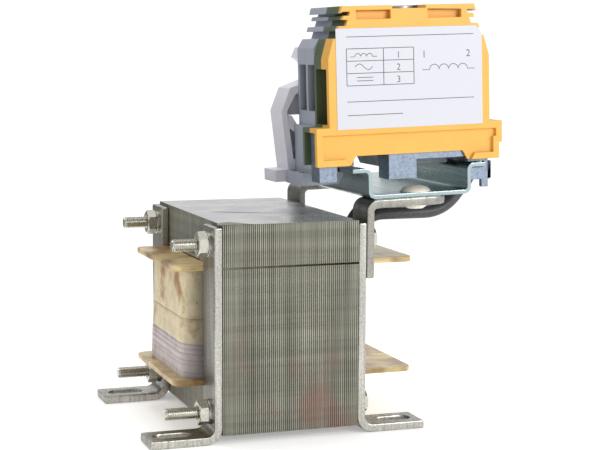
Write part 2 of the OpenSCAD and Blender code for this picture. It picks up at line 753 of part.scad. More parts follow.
// Face of the stamped foot: left leg, tongue in the channel and claw round the right flange
foot_face = [
    [leg_left, bar_seat],
    [claw_right, bar_seat],
    [claw_right, claw_low],
    [claw_right - claw_tip_w, claw_low],
    [claw_right - claw_tip_w, tooth_low],
    [rail_wall + 2 * fit, tooth_low],
    [rail_wall + 2 * fit, rail_under - fit],
    [rail_edge + fit, rail_under - fit],
    [rail_edge + fit, rail_h + fit],
    [rail_wall - fit, rail_h + fit],
    [rail_wall - fit, plate_low],
    [tongue_w - tongue_left, plate_low],
    [tongue_w - tongue_left, tongue_low],
    [-tongue_left, tongue_low],
    [-tongue_left, bar_seat - cross_h],
    [leg_left + leg_plate_w, bar_seat - cross_h],
    [leg_left + leg_plate_w, leg_plate_low],
    [leg_left, leg_plate_low]
];

module earth_foot() color("#a9b2bf") on_rail() {
    curl_x = claw_right + curl_gap;
    along_y(plate_y, foot_plate_t) {
        polygon(foot_face);
        polygon([
            [claw_right - fit, tooth_low], [curl_x, tooth_low], [curl_x + curl_t, tooth_low + curl_t],
            [curl_x + curl_t, tooth_low + curl_h], [curl_x, tooth_low + curl_h],
            [curl_x, tooth_low + curl_t], [claw_right - fit, tooth_low + curl_t]
        ]);
    }
    box([leg_left, plate_y, leg_plate_low], [leg_left + fold_t, plate_y + leg_fold, bar_seat]);
    box([-tongue_left, plate_y, tongue_low], [-tongue_left + fold_t, plate_y + tongue_fold, recess_z - fit]);
}

module earth_bar() color("#b9a25c") on_rail() difference() {
    box([mid - bar_half, earth_in + fit, bar_seat], [mid + bar_half, earth_out - fit, bar_seat + bar_t]);
    translate([mid, earth_mid, bar_seat - over])
        cylinder(d = earth_screw_d + 2 * thread_fit, h = bar_t + 2 * over);
}

// Box-shaped wire clamp, open along X, with a threaded hole in its top
module cage(w, h, hole) difference() {
    translate([-cage_l / 2, -w / 2, 0]) cube([cage_l, w, h]);
    translate([-cage_l / 2 - over, -w / 2 + cage_wall, cage_wall])
        cube([cage_l + 2 * over, w - 2 * cage_wall, h - 3 * cage_wall]);
    cylinder(d = hole + 2 * thread_fit, h = h + over);
}

// Slotted screw with its tip at Z = 0
module screw(d, head, shank) difference() {
    union() {
        cylinder(d = d, h = shank);
        translate([0, 0, shank]) cylinder(d = head, h = screw_head_h);
    }
    translate([-head, -driver_w / 2, shank + screw_head_h - driver_depth])
        cube([2 * head, driver_w, driver_depth + over]);
}

module earth_cages() color("#b8b6ac") on_rail() for (s = [-1, 1])
    translate([mid + s * clamp_x, earth_mid, earth_cage_z]) difference() {
        cage(earth_cage_w, earth_cage_h, earth_screw_d);
        translate([0, 0, -over]) cylinder(d = earth_screw_d, h = over);
    }

module earth_screws() color("#c2c0b6") on_rail() for (s = [-1, 1])
    translate([mid + s * clamp_x, earth_mid, earth_cage_z + earth_cage_h / 2])
        screw(earth_screw_d, earth_head_d, earth_cage_h / 2 + screw_up);

module earth_foot_screw() color("#8c8c88") on_rail() translate([mid, earth_mid, bar_seat])
    screw(earth_screw_d, earth_head_d, block_top - middle_drop - screw_head_h - bar_seat);

module rating_label() color("#f2f1f4") on_rail() along_y(earth_y - label_t, label_t) polygon([
    [mid - label_left, label_low],
    [mid - label_left, label_high],
    [mid + label_right - label_corner, label_high],
    [mid + label_right, label_high - label_corner],
    [mid + label_right, label_low]
]);

// Plastic foot round one flange of the rail, from its outer end to the hollow over the channel
function grip(s, out) = [for (p = [
    [out, foot_top],
    [out, foot_low],
    [rail_edge - foot_bite, foot_low],
    [rail_edge - foot_bite, rail_under - fit],
    [rail_edge + fit, rail_under - fit],
    [rail_edge + fit, rail_h],
    [rail_wall, rail_h],
    [rail_wall, recess_z]
]) [s * p[0], p[1]]];

function terminal_upper(e) = [
    [mid - body_half + e, hood_z],
    [mid - top_half + e, block_top - e],
    [mid + top_half - e, block_top - e],
    [mid + body_half - e, hood_z]
];
terminal_outline = concat(
    terminal_upper(0),
    [[mid + body_half, shoulder_z], [mid + lower_half, shoulder_z], [mid + lower_half, foot_top]],
    grip(1, claw_right),
    reversed(grip(-1, foot_half - mid)),
    [[mid - lower_half, foot_top], [mid - lower_half, shoulder_z], [mid - body_half, shoulder_z]]
);

// Half width of the slanted side at a height
function slant_half(z) = top_half + (body_half - top_half) * (block_top - z) / (block_top - hood_z);

module terminal_housing(y0) color("#8c93a0") on_rail() difference() {
    along_y(y0, terminal_w) polygon(terminal_outline);
    along_y(y0 - over, cavity_w + over) polygon(concat(
        terminal_upper(wall + groove_in), [[mid + body_half - wall, cage_z], [mid - body_half + wall, cage_z]]));
    for (s = [-1, 1]) {
        x = [mid + s * bar_half, mid + s * (lower_half + over)];
        box([min(x), y0 - over, sill_z], [max(x), y0 + cavity_w, entry_top + fit]);
        translate([mid + s * clamp_x, y0 + cavity_w / 2, hood_z]) cylinder(d = screw_head_d + 2 * fit, h = block_top);
        for (z = [slant_top, slant_top - groove_h - groove_rib]) {
            g = [mid + s * (slant_half(z) - groove_in), mid + s * (body_half + over)];
            box([min(g), y0 - over, z - groove_h], [max(g), y0 + terminal_w + over, z]);
        }
        r = s * (s * mid + foot_half - wall / 2 - release_l);
        box([min(r, r + s * release_l), y0 + wall, foot_top - release_depth],
            [max(r, r + s * release_l), y0 + terminal_w - wall, foot_top + over]);
    }
}

module terminal_housing_front() terminal_housing(terminal_y[0]);
module terminal_housing_back() terminal_housing(terminal_y[1]);

module terminal_bars() color("#c2a95e") on_rail() for (y = terminal_y)
    box([mid - bar_half, y + fit + cage_wall + fit, bar_z],
        [mid + bar_half, y + cavity_w - 2 * fit - cage_wall, bar_z + bar_t]);

module terminal_cages() color("#b8b6ac") on_rail() for (y = terminal_y, s = [-1, 1])
    translate([mid + s * clamp_x, y + cavity_w / 2, cage_z]) cage(cage_w, cage_h, screw_d);

module terminal_screws() color("#c2c0b6") on_rail() for (y = terminal_y, s = [-1, 1])
    translate([mid + s * clamp_x, y + cavity_w / 2, bar_z + bar_t])
        screw(screw_d, screw_head_d, cage_z + cage_h - bar_z - bar_t + screw_up);

// Outline of the end stop above its feet, drawn in by e
function stop_side(s, e) = [
    [mid + s * (stop_head_top - e), stop_head_z - e],
    [mid + s * (stop_head_half - e), stop_head_mid],
    [mid + s * (throat_half - e), throat_z],
    [mid + s * (throat_half - e), arm_z - e],
    [mid + s * (arm_half - e), arm_z - e],
    [mid + s * (apex_half - e), apex_z],
    [mid + s * (base_half - e), e > 0 ? stop_floor : foot_top]
];

module end_stop() color("#c8c6ce") on_rail() {
    web_y = stop_y + (stop_w - web_t) / 2;
    difference() {
        along_y(stop_y, stop_w) polygon(concat(
            stop_side(1, 0), grip(1, mid + stop_foot_half),
            reversed(grip(-1, stop_foot_half - mid)), reversed(stop_side(-1, 0))));
        for (y = [stop_y - over, web_y + web_t]) along_y(y, (stop_w - web_t) / 2 + over) difference() {
            polygon(concat(stop_side(1, stop_wall), reversed(stop_side(-1, stop_wall))));
            for (s = [-1, 1]) translate([mid + s * boss_half, stop_floor + boss_h / 2])
                square([cage_l, boss_h], center = true);
        }
        for (s = [-1, 1]) {
            along_y(stop_y - over, stop_w + 2 * over) polygon([
                [mid + s * (apex_half - stop_wall - fit), apex_z],
                [mid + s * boss_half, apex_z],
                [mid + s * boss_half, stop_floor + boss_h + stop_wall],
                [mid + s * (boss_half + cage_l / 2), stop_floor + boss_h]
            ]);
        }
        translate([mid - boss_half, stop_y + stop_w / 2, stop_floor + boss_h / 2]) rotate([0, 90, 0]) {
            cylinder(d = stop_screw_d + 2 * thread_fit, h = 3 * cage_l, center = true);
            translate([0, 0, -cage_l / 2 - screw_head_h - 2 * fit])
                cylinder(d = stop_head_d + 2 * fit, h = screw_head_h + 2 * fit);
        }
    }
}

module end_stop_screw() color("#d0cec6") on_rail()
    translate([mid - boss_half - cage_l / 2 + stop_screw_l, stop_y + stop_w / 2, stop_floor + boss_h / 2])
        rotate([0, -90, 0]) screw(stop_screw_d, stop_head_d, stop_screw_l);

// Round tube along straight lengths and bends, starting upwards.
// The straight lengths are a little thinner and run a little into the bends.
tube_lap = 0.3;
tube_ease = 0.05;
module tube_run(path, d, i = 0) {
    if (i < len(path)) {
        run = path[i][0];
        r = path[i][1];
        a = path[i][2];
        rotate([0, 0, path[i][3]]) if (r == 0) {
            low = i > 0 ? tube_lap : 0;
            high = i < len(path) - 1 ? tube_lap : 0;
            translate([0, 0, -low]) cylinder(d = d - 2 * tube_ease, h = run + low + high);
            translate([0, 0, run]) tube_run(path, d, i + 1);
        } else {
            translate([r, 0, 0]) {
                rotate([90, 0, 0]) rotate([0, 0, r > 0 ? 180 - a : 0])
                    rotate_extrude(angle = abs(a)) translate([abs(r), 0]) circle(d = d);
                rotate([0, a, 0]) translate([-r, 0, 0]) tube_run(path, d, i + 1);
            }
        }
    }
}

module lead(i) color("#2c2c2e") translate([lead_x, lead_y[i], coil_high]) tube_run(lead_path(i), lead_d);

module lead_front() lead(0);
module lead_back() lead(1);

module lead_ferrules() color("#c9ccd0") on_rail() for (y = terminal_y)
    translate([sleeve_end - ferrule_l, y + cavity_w / 2, lead_entry_z]) rotate([0, 90, 0])
        cylinder(d = ferrule_d, h = ferrule_l);

e_core();
i_yoke();
gap_sheet();
bobbin();
winding();
coil_wrap();
foot_front_left();
foot_back_left();
foot_front_right();
foot_back_right();
clamp_bolts();
clamp_washers();
clamp_nuts();
rail_bracket_front();
rail_bracket_back();
mounting_rail();
rail_rivets();
earth_cover();
earth_housing();
earth_foot();
earth_bar();
earth_cages();
earth_screws();
earth_foot_screw();
rating_label();
terminal_housing_front();
terminal_housing_back();
terminal_bars();
terminal_cages();
terminal_screws();
end_stop();
end_stop_screw();
lead_front();
lead_back();
lead_ferrules();
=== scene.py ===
"""Looks of a single-phase line reactor with a short terminal rail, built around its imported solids."""

import math
import random

import bmesh
import bpy
from bpy.props import FloatProperty, FloatVectorProperty, PointerProperty
from mathutils import Matrix, Vector, noise


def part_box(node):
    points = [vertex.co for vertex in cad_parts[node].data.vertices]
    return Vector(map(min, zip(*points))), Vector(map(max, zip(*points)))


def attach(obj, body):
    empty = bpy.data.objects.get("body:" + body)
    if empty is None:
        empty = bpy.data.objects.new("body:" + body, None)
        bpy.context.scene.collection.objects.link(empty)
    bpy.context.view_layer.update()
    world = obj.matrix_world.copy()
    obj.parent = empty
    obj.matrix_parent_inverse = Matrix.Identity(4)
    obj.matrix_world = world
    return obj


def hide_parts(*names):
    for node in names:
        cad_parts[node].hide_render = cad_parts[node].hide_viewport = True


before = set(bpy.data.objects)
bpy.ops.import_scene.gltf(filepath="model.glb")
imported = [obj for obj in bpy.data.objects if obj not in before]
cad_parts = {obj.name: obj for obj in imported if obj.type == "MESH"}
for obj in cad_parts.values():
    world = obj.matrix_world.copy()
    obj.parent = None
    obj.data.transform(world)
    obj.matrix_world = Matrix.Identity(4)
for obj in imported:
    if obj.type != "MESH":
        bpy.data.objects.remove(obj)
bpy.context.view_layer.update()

bl_info = {
    "name": "Line Reactor Looks",
    "version": (1, 0, 0),
    "blender": (4, 5, 0),
    "location": "View3D > Sidebar > Reactor",
    "description": "Builds the looks of a line reactor with rail terminals around its packed solids",
    "category": "Object",
}


def mm(value):
    """Millimetres in metres."""
    return value * 0.001


# The rail's own frame: place of its middle in millimetres, and how far its right side leans up in degrees
RAIL_X, RAIL_Z = 33.5, 57.1
RAIL_LEAN = 1.8
RAIL = Matrix.Translation((mm(RAIL_X), 0, mm(RAIL_Z))) @ Matrix.Rotation(math.radians(-RAIL_LEAN), 4, "Y")

# Edges that turn by more than this many degrees get rounded
CORNER = 30


def per(size):
    """Texture scale that repeats about once in this many millimetres."""
    return 1000.0 / size


def linear(code):
    """Linear colour of an sRGB hex code."""
    parts = [int(code[i:i + 2], 16) / 255 for i in (1, 3, 5)]
    return tuple(p / 12.92 if p <= 0.04045 else ((p + 0.055) / 1.055) ** 2.4 for p in parts)


def length(name, description, default):
    """Length property, its default in millimetres."""
    return FloatProperty(name=name, description=description, default=mm(default), unit="LENGTH", precision=5)


def colour(name, description, code):
    """Colour property, its default an sRGB hex code."""
    return FloatVectorProperty(
        name=name, description=description, default=linear(code), subtype="COLOR", size=3, min=0, max=1)


class ReactorSizes(bpy.types.PropertyGroup):
    """Sizes that the looks add to the solids"""
    plastic_edge: length("Plastic Edge", "Radius on the edges of the moulded housings", 0.16)
    strip_edge: length("Strip Edge", "Radius on the edges of the steel strips", 0.4)
    rail_edge: length("Rail Edge", "Radius on the cut edges of the rail", 0.16)
    board_edge: length("Board Edge", "Radius on the edges of the bobbin's boards", 0.18)
    board_corner: length("Board Corner", "Radius of the corners of the bobbin's boards", 2.4)
    lamination: length("Lamination", "Spacing of the core's steel sheets", 0.5)
    sheet_gap: length("Sheet Gap", "Gap between two sheets of the core", 0.17)
    sheet_shift: length("Sheet Shift", "Most that a sheet stands back from its neighbours", 0.08)
    skin: length("Varnish Skin", "Thickness of the varnish on the core's top", 0.06)
    thread_pitch: length("Thread Pitch", "Pitch of the bolts' threads", 0.5)
    thread_depth: length("Thread Depth", "Depth of the bolts' threads", 0.26)
    ink_line: length("Ink Line", "Width of the lines printed on the label", 0.2)


class ReactorColours(bpy.types.PropertyGroup):
    """Main colours of the reactor's materials"""
    yellow: colour("Yellow", "Front half of the earth terminal", "#E6AD48")
    green: colour("Green", "Back half of the earth terminal", "#4B5A40")
    grey: colour("Grey", "Feed-through terminals", "#9CA2AE")
    light_grey: colour("Light Grey", "End stop", "#DAD8E0")
    steel: colour("Core Steel", "Edges of the core's sheets", "#8B8B7D")
    zinc: colour("Zinc", "Strips, feet and brackets", "#A3A19A")
    rail_zinc: colour("Rail Zinc", "Mounting rail", "#A3B4B6")
    foot_zinc: colour("Foot Zinc", "Stamped foot of the earth terminal", "#8F9BAC")
    board: colour("Board", "Pressboard of the bobbin", "#DDC48C")
    paper: colour("Paper", "Paper wrap of the coil", "#DCCDA8")
    tape: colour("Tape", "Cotton tape round the coil's foot", "#C9BEBB")
    sleeve: colour("Sleeve", "Sleeving of the leads", "#3E3E40")
    label: colour("Label", "Sticker on the earth terminal", "#CDCDD5")
    ink: colour("Ink", "Print on the sticker", "#55555C")


def fill(node, sockets):
    """Gives sockets, by name or by order, their values or links; a node links by its first output in use."""
    for key, value in sockets.items() if isinstance(sockets, dict) else enumerate(sockets):
        socket = node.inputs[key]
        if isinstance(value, bpy.types.Node):
            value = next(output for output in value.outputs if output.enabled)
        if isinstance(value, bpy.types.NodeSocket):
            node.id_data.links.new(value, socket)
        elif socket.type == "RGBA":
            socket.default_value = (*value, 1)
        else:
            socket.default_value = value


def add(tree, kind, sockets=(), **settings):
    """New shader node of a kind, with its settings and its sockets' values or links."""
    new = tree.nodes.new("ShaderNode" + kind)
    for key, value in settings.items():
        setattr(new, key, value)
    fill(new, sockets)
    return new


def start(name, **values):
    """New material: its node tree, its shader and the object coordinates."""
    material = bpy.data.materials.new(name)
    material.use_nodes = True
    tree = material.node_tree
    shader = tree.nodes["Principled BSDF"]
    fill(shader, values)
    place = add(tree, "TexCoord").outputs["Object"]
    return material, tree, shader, place


def shade(code, factor):
    """Colour made darker or lighter by a factor."""
    return tuple(min(c * factor, 1) for c in code)


def moulded_polyamide(name, base, rough=0.4, cloud=0.08, grain=0.25, mouth=None):
    """Injection-moulded polyamide: satin, faintly clouded, with the fine grain of a spark-eroded mould.

    A mouth is the middle, half width, lowest and highest level of wire entries whose insides get painted
    shade.
    """
    material, tree, shader, place = start(name, Roughness=rough, IOR=1.53)
    clouds = add(tree, "TexNoise", {"Vector": place, "Scale": per(7), "Detail": 3.0})
    pale, dim = shade(base, 1 + cloud), shade(base, 1 - cloud)
    tone = add(tree, "Mix", {0: clouds, 6: dim, 7: pale}, data_type="RGBA")
    if mouth:
        middle, half, low, high = mouth
        axes = add(tree, "SeparateXYZ", (place,))
        side = add(tree, "Math", (axes.outputs["X"], middle), operation="SUBTRACT")
        out = add(tree, "Math", (side,), operation="ABSOLUTE")
        # Painted shade: inside the wire entries the colour darkens inward, down to 0.3 of the base, between
        # their lowest and highest levels.
        deep = add(tree, "MapRange", (out, half, half - mm(2.5)))
        under = add(tree, "Math", (axes.outputs["Z"], high), operation="LESS_THAN")
        over = add(tree, "Math", (axes.outputs["Z"], low), operation="GREATER_THAN")
        within = add(tree, "Math", (under, over), operation="MULTIPLY")
        painted_entry_shade = add(tree, "Math", (deep, within), operation="MULTIPLY")
        tone = add(tree, "Mix", {0: painted_entry_shade, 6: tone, 7: shade(base, 0.3)}, data_type="RGBA")
    pits = add(tree, "TexNoise", {"Vector": place, "Scale": per(grain), "Detail": 2.0})
    bump = add(tree, "Bump", {"Height": pits, "Strength": 0.25, "Distance": mm(0.03)})
    fill(shader, {"Base Color": tone, "Normal": bump})
    return material


def plated_steel(name, base, rough=(0.28, 0.45), streak=(2, 2, 14), speck=0.5, dark=0.78, speck_bump=0.2,
                 painted_y_face_light=1.0, metallic=1.0):
    """Zinc-plated steel: bright metal with drawn streaks and the crystals and stains of the plating.

    On strips the sheared edges face along Y; faces along Y are made brighter than the rolled faces, which is
    painted light.
    """
    material, tree, shader, place = start(name, Metallic=metallic)
    drawn = add(tree, "Mapping", {"Vector": place, "Scale": tuple(per(s) for s in streak)})
    streaks = add(tree, "TexNoise", {"Vector": drawn, "Scale": 1.0, "Detail": 4.0})
    specks = add(tree, "TexNoise", {"Vector": place, "Scale": per(speck), "Detail": 2.0})
    both = add(tree, "Math", (streaks, specks), operation="ADD")
    level = add(tree, "MapRange", (both, 0.7, 1.3))
    tone = add(tree, "Mix", {0: level, 6: shade(base, dark), 7: shade(base, 1.08)}, data_type="RGBA")
    # Painted light: faces that face along Y get their colour raised by a factor, as if lit from the front.
    facing = add(tree, "SeparateXYZ", (add(tree, "NewGeometry").outputs["Normal"],))
    along = add(tree, "Math", (facing.outputs["Y"],), operation="ABSOLUTE")
    y_face_light_gain = add(tree, "MapRange", (along, 0.4, 0.9, 1.0, painted_y_face_light))
    lit = add(tree, "VectorMath", {0: tone, "Scale": y_face_light_gain}, operation="SCALE")
    gloss = add(tree, "MapRange", (level, 0.0, 1.0, rough[1], rough[0]))
    bump = add(tree, "Bump", {"Height": both, "Strength": speck_bump, "Distance": mm(0.03)})
    fill(shader, {"Base Color": lit, "Roughness": gloss, "Normal": bump})
    return material


def lamination_steel(base, pitch):
    """Varnished silicon steel sheets: each cut edge has its own tone, in darker and lighter groups.

    There are rolled streaks along the sheets, a few marks across them and a breath of rust low down.
    """
    material, tree, shader, place = start("Varnished silicon steel", Metallic=0.5, Roughness=0.45)
    axes = add(tree, "SeparateXYZ", (place,))
    count = add(tree, "Math", (axes.outputs["X"], 1 / pitch), operation="MULTIPLY")
    sheet = add(tree, "Math", (count,), operation="FLOOR")
    pick = add(tree, "TexWhiteNoise", {"W": sheet}, noise_dimensions="1D")
    tone = add(tree, "Mix", {0: pick, 6: shade(base, 0.86), 7: shade(base, 1.16)}, data_type="RGBA")
    drawn = add(tree, "Mapping", {"Vector": place, "Scale": (per(3), per(3), per(40))})
    groups = add(tree, "TexNoise", {"Vector": drawn, "Scale": 1.0, "Detail": 5.0})
    worn = add(tree, "MapRange", (groups, 0.3, 0.7, 0.74, 1.14))
    across = add(tree, "Mapping", {"Vector": place, "Scale": (per(60), per(60), per(1.6))})
    marks = add(tree, "TexNoise", {"Vector": across, "Scale": 1.0, "Detail": 3.0})
    faint = add(tree, "MapRange", (marks, 0.4, 0.62, 0.84, 1.06))
    both = add(tree, "Math", (worn, faint), operation="MULTIPLY")
    sheets = add(tree, "VectorMath", {0: tone, "Scale": both}, operation="SCALE")
    patches = add(tree, "TexNoise", {"Vector": place, "Scale": per(11), "Detail": 5.0})
    damp = add(tree, "MapRange", (axes.outputs["Z"], mm(32), mm(14), 0.1, 0.6))
    rust = add(tree, "MapRange", (patches, 0.48, 0.72, 0.0, damp))
    rusty = add(tree, "Mix", {0: rust, 6: sheets, 7: linear("#8A6258")}, data_type="RGBA")
    fill(shader, {"Base Color": rusty})
    return material


def varnished_top(base, pitch):
    """Baked varnish on the sheets' upper edges: smooth, clouded green and lilac, with faint sheet lines."""
    material, tree, shader, place = start("Baked varnish on steel", Metallic=0.6, Roughness=0.3)
    clouds = add(tree, "TexNoise", {"Vector": place, "Scale": per(9), "Detail": 5.0, "Roughness": 0.6})
    level = add(tree, "MapRange", (clouds, 0.35, 0.65))
    tone = add(tree, "Mix", {0: level, 6: linear("#8F9087"), 7: linear("#A3A1A8")}, data_type="RGBA")
    runs = add(tree, "TexNoise", {"Vector": place, "Scale": per(4), "Detail": 6.0})
    dull = add(tree, "MapRange", (runs, 0.62, 0.72, 0.0, 0.6))
    blotched = add(tree, "Mix", {0: dull, 6: tone, 7: shade(base, 0.9)}, data_type="RGBA")
    gloss = add(tree, "MapRange", (level, 0.0, 1.0, 0.2, 0.36))
    lines = add(tree, "TexWave", {"Vector": place, "Scale": per(pitch * 1000) / 20, "Distortion": 0.3},
                bands_direction="X")
    bump = add(tree, "Bump", {"Height": lines.outputs["Fac"], "Strength": 0.06, "Distance": mm(0.03)})
    fill(shader, {"Base Color": blotched, "Roughness": gloss, "Normal": bump})
    return material


def pressboard(base):
    """Varnished pressboard: amber streaks of fibre under a glossy skin, brown where varnish pooled."""
    material, tree, shader, place = start("Varnished pressboard", Roughness=0.32, IOR=1.5)
    drawn = add(tree, "Mapping", {"Vector": place, "Scale": (per(14), per(1.6), per(1.6))})
    fibres = add(tree, "TexNoise", {"Vector": drawn, "Scale": 1.0, "Detail": 5.0})
    level = add(tree, "MapRange", (fibres, 0.35, 0.68))
    tone = add(tree, "Mix", {0: level, 6: shade(base, 0.7), 7: shade(base, 1.12)}, data_type="RGBA")
    pools = add(tree, "TexNoise", {"Vector": place, "Scale": per(9), "Detail": 4.0})
    stain = add(tree, "MapRange", (pools, 0.41, 0.62, 0.0, 0.85))
    tinted = add(tree, "Mix", {0: stain, 6: tone, 7: linear("#86602A")}, data_type="RGBA")
    bump = add(tree, "Bump", {"Height": fibres, "Strength": 0.3, "Distance": mm(0.05)})
    fill(shader, {"Base Color": tinted, "Normal": bump})
    return material


def soaked_paper(name, base, foot, band_top, soaked=0.85):
    """Varnish-soaked wrap: cream paper with brown pools and specks, and pale tape below the band's top.

    Faces that face along Y, the sides that lie in the core's windows, are darkened by painted shade.
    """
    material, tree, shader, place = start(name, Roughness=0.5, IOR=1.45)
    fibres = add(tree, "TexNoise", {"Vector": place, "Scale": per(3), "Detail": 6.0})
    wander = add(tree, "TexNoise", {"Vector": place, "Scale": per(6), "Detail": 2.0})
    axes = add(tree, "SeparateXYZ", (place,))
    wave = add(tree, "Math", (wander, mm(2.4), axes.outputs["Z"]), operation="MULTIPLY_ADD")
    below = add(tree, "MapRange", (wave, band_top + mm(1.5), band_top + mm(1.1)))
    both = add(tree, "Mix", {0: below, 6: base, 7: foot}, data_type="RGBA")
    light = add(tree, "MapRange", (fibres, 0.3, 0.7, 0.82, 1.1))
    tone = add(tree, "VectorMath", {0: both, "Scale": light}, operation="SCALE")
    pools = add(tree, "TexNoise", {"Vector": place, "Scale": per(8), "Detail": 5.0, "Roughness": 0.6})
    lift = add(tree, "MapRange", (axes.outputs["Z"], mm(30), mm(40), 0.0, 0.12))
    pooled = add(tree, "Math", (pools, lift), operation="ADD")
    stain = add(tree, "MapRange", (pooled, 0.56, 0.72, 0.0, soaked))
    tinted = add(tree, "Mix", {0: stain, 6: tone, 7: linear("#96601E")}, data_type="RGBA")
    specks = add(tree, "TexNoise", {"Vector": place, "Scale": per(1.6), "Detail": 3.0})
    spots = add(tree, "MapRange", (specks, 0.68, 0.76, 0.0, 0.7))
    spotted = add(tree, "Mix", {0: spots, 6: tinted, 7: linear("#5A4424")}, data_type="RGBA")
    # Painted shade: faces that face along Y are darkened down to about a third.
    facing = add(tree, "SeparateXYZ", (add(tree, "NewGeometry").outputs["Normal"],))
    ahead = add(tree, "Math", (facing.outputs["Y"],), operation="ABSOLUTE")
    painted_side_shade = add(tree, "MapRange", (ahead, 0.35, 0.95, 1.0, 0.32))
    sides = add(tree, "VectorMath", {0: spotted, "Scale": painted_side_shade}, operation="SCALE")
    bump = add(tree, "Bump", {"Height": fibres, "Strength": 0.4, "Distance": mm(0.1)})
    fill(shader, {"Base Color": sides, "Normal": bump})
    return material


def braided_sleeve(base):
    """Varnished glass-fibre sleeving: a dark satin tube with a fine braid.

    The braid is too fine to show in the render, so it is drawn coarser.
    """
    material, tree, shader, place = start("Varnished braided sleeving", Roughness=0.42, IOR=1.5)
    weave = add(tree, "TexVoronoi", {"Vector": place, "Scale": per(0.7)})
    tone = add(tree, "Mix", {0: weave, 6: shade(base, 1.35), 7: shade(base, 0.7)}, data_type="RGBA")
    bump = add(tree, "Bump", {"Height": weave, "Strength": 0.3, "Distance": mm(0.08)}, invert=True)
    fill(shader, {"Base Color": tone, "Normal": bump})
    return material


def solid_copy(node):
    """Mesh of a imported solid, merged and with flat faces joined up."""
    bm = bmesh.new()
    bm.from_mesh(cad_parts[node].data)
    bmesh.ops.remove_doubles(bm, verts=bm.verts, dist=mm(0.002))
    bmesh.ops.dissolve_limit(bm, angle_limit=math.radians(0.4), verts=bm.verts, edges=bm.edges)
    return bm


def sharp(edge, angle):
    """Whether two faces meet at the edge and turn by more than an angle in degrees."""
    return len(edge.link_faces) == 2 and edge.calc_face_angle() > math.radians(angle)


def round_off(bm, edges, radius, segments=2):
    """Rounds some edges to a radius."""
    bmesh.ops.bevel(bm, geom=edges, offset=radius, offset_type="OFFSET", segments=segments, profile=0.5,
                    affect="EDGES", clamp_overlap=False, material=-1)


def round_edges(bm, radius, shortest=0.0):
    """Rounds all corners that are longer than the shortest length."""
    round_off(bm, [e for e in bm.edges if sharp(e, CORNER) and e.calc_length() > shortest], radius)


def finish_piece(name, bm, material, slot, *nodes, crease=40):
    """Makes the mesh an object at the origin that rides on the part and stands for its nodes."""
    for face in bm.faces:
        face.smooth = True
    for edge in bm.edges:
        if sharp(edge, crease):
            edge.smooth = False
    mesh = bpy.data.meshes.new(name)
    bm.to_mesh(mesh)
    bm.free()
    mesh.materials.append(material)
    piece = bpy.data.objects.new(name, mesh)
    bpy.context.scene.collection.objects.link(piece)
    normals = piece.modifiers.new("Weighted normals", "WEIGHTED_NORMAL")
    normals.keep_sharp = True
    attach(piece, "root")
    if nodes:
        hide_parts(*nodes)
    return piece


def dress(node, material, slot, radius, shortest=0.0):
    """Replaces a solid by a copy of it with rounded edges."""
    bm = solid_copy(node)
    round_edges(bm, radius, shortest)
    return finish_piece(node + "_piece", bm, material, slot, node)


def paint(node, material):
    """Gives a solid that keeps its shape a better material."""
    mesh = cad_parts[node].data
    mesh.materials.clear()
    mesh.materials.append(material)


def slab(bm, outline, depth):
    """Prism of a flat outline."""
    face = bm.faces.new([bm.verts.new(p) for p in outline])
    made = bmesh.ops.extrude_face_region(bm, geom=[face])["geom"]
    moved = [g for g in made if isinstance(g, bmesh.types.BMVert)]
    bmesh.ops.translate(bm, verts=moved, vec=depth)
    bmesh.ops.recalc_face_normals(bm, faces=list({f for v in moved for f in v.link_faces} | {face}))


def loft(bm, rings, segments):
    """Skin over a row of rings: each ring gives a point for an angle."""
    verts = bmesh.ops.create_circle(bm, segments=segments, radius=1)["verts"]
    edges = list({e for v in verts for e in v.link_edges})
    angles = {v: math.atan2(v.co.y, v.co.x) for v in verts}
    for number, ring in enumerate(rings):
        if number:
            way = {tuple(v.co): angles[v] for v in verts}
            made = bmesh.ops.extrude_edge_only(bm, edges=edges)["geom"]
            verts = [g for g in made if isinstance(g, bmesh.types.BMVert)]
            edges = [g for g in made if isinstance(g, bmesh.types.BMEdge)]
            angles = {v: way[tuple(v.co)] for v in verts}
        for v in verts:
            v.co = ring(angles[v])


def lathe(bm, outline, segments=48):
    """Body about the X axis: a step of its outline is a place and a radius, or gives them for an angle."""
    def around(step):
        def point(angle):
            x, r = step(angle) if callable(step) else step
            r = max(r, 0.004)
            return Vector((mm(x), mm(r) * math.cos(angle), mm(r) * math.sin(angle)))
        return point
    loft(bm, [around(step) for step in outline], segments)
    close(bm)


def tube(bm, at, route, radius):
    """Round tube that starts upwards and follows a route in millimetres and degrees.

    A step has a straight length, or a bend's radius and angle, and the turn of the bend's plane before it.
    """
    place = Matrix.Translation([mm(p) for p in at])
    turned = 0
    places = [(place.copy(), turned)]
    for run, bend, angle, roll in route:
        place = place @ Matrix.Rotation(math.radians(roll), 4, "Z")
        turned += math.radians(roll)
        if bend:
            steps = max(2, round(abs(angle) / 6))
            arm = Matrix.Translation((mm(bend), 0, 0))
            for _ in range(steps):
                place = place @ arm @ Matrix.Rotation(math.radians(angle / steps), 4, "Y") @ arm.inverted()
                places.append((place.copy(), turned))
        else:
            place = place @ Matrix.Translation((0, 0, mm(run)))
            places.append((place.copy(), turned))

    def around(middle, back):
        return lambda a: middle @ Vector((radius * math.cos(a - back), radius * math.sin(a - back), 0))
    loft(bm, [around(*p) for p in places], 20)
    close(bm)


def close(bm):
    """Merges the seams and poles of a body, fills its open ends and points its faces outwards."""
    bmesh.ops.remove_doubles(bm, verts=bm.verts, dist=mm(0.0015))
    ends = [e for e in bm.edges if len(e.link_faces) == 1]
    bmesh.ops.holes_fill(bm, edges=ends, sides=0)
    bmesh.ops.recalc_face_normals(bm, faces=bm.faces)


def whole(bm):
    """All parts of a mesh."""
    return bm.verts[:] + bm.edges[:] + bm.faces[:]


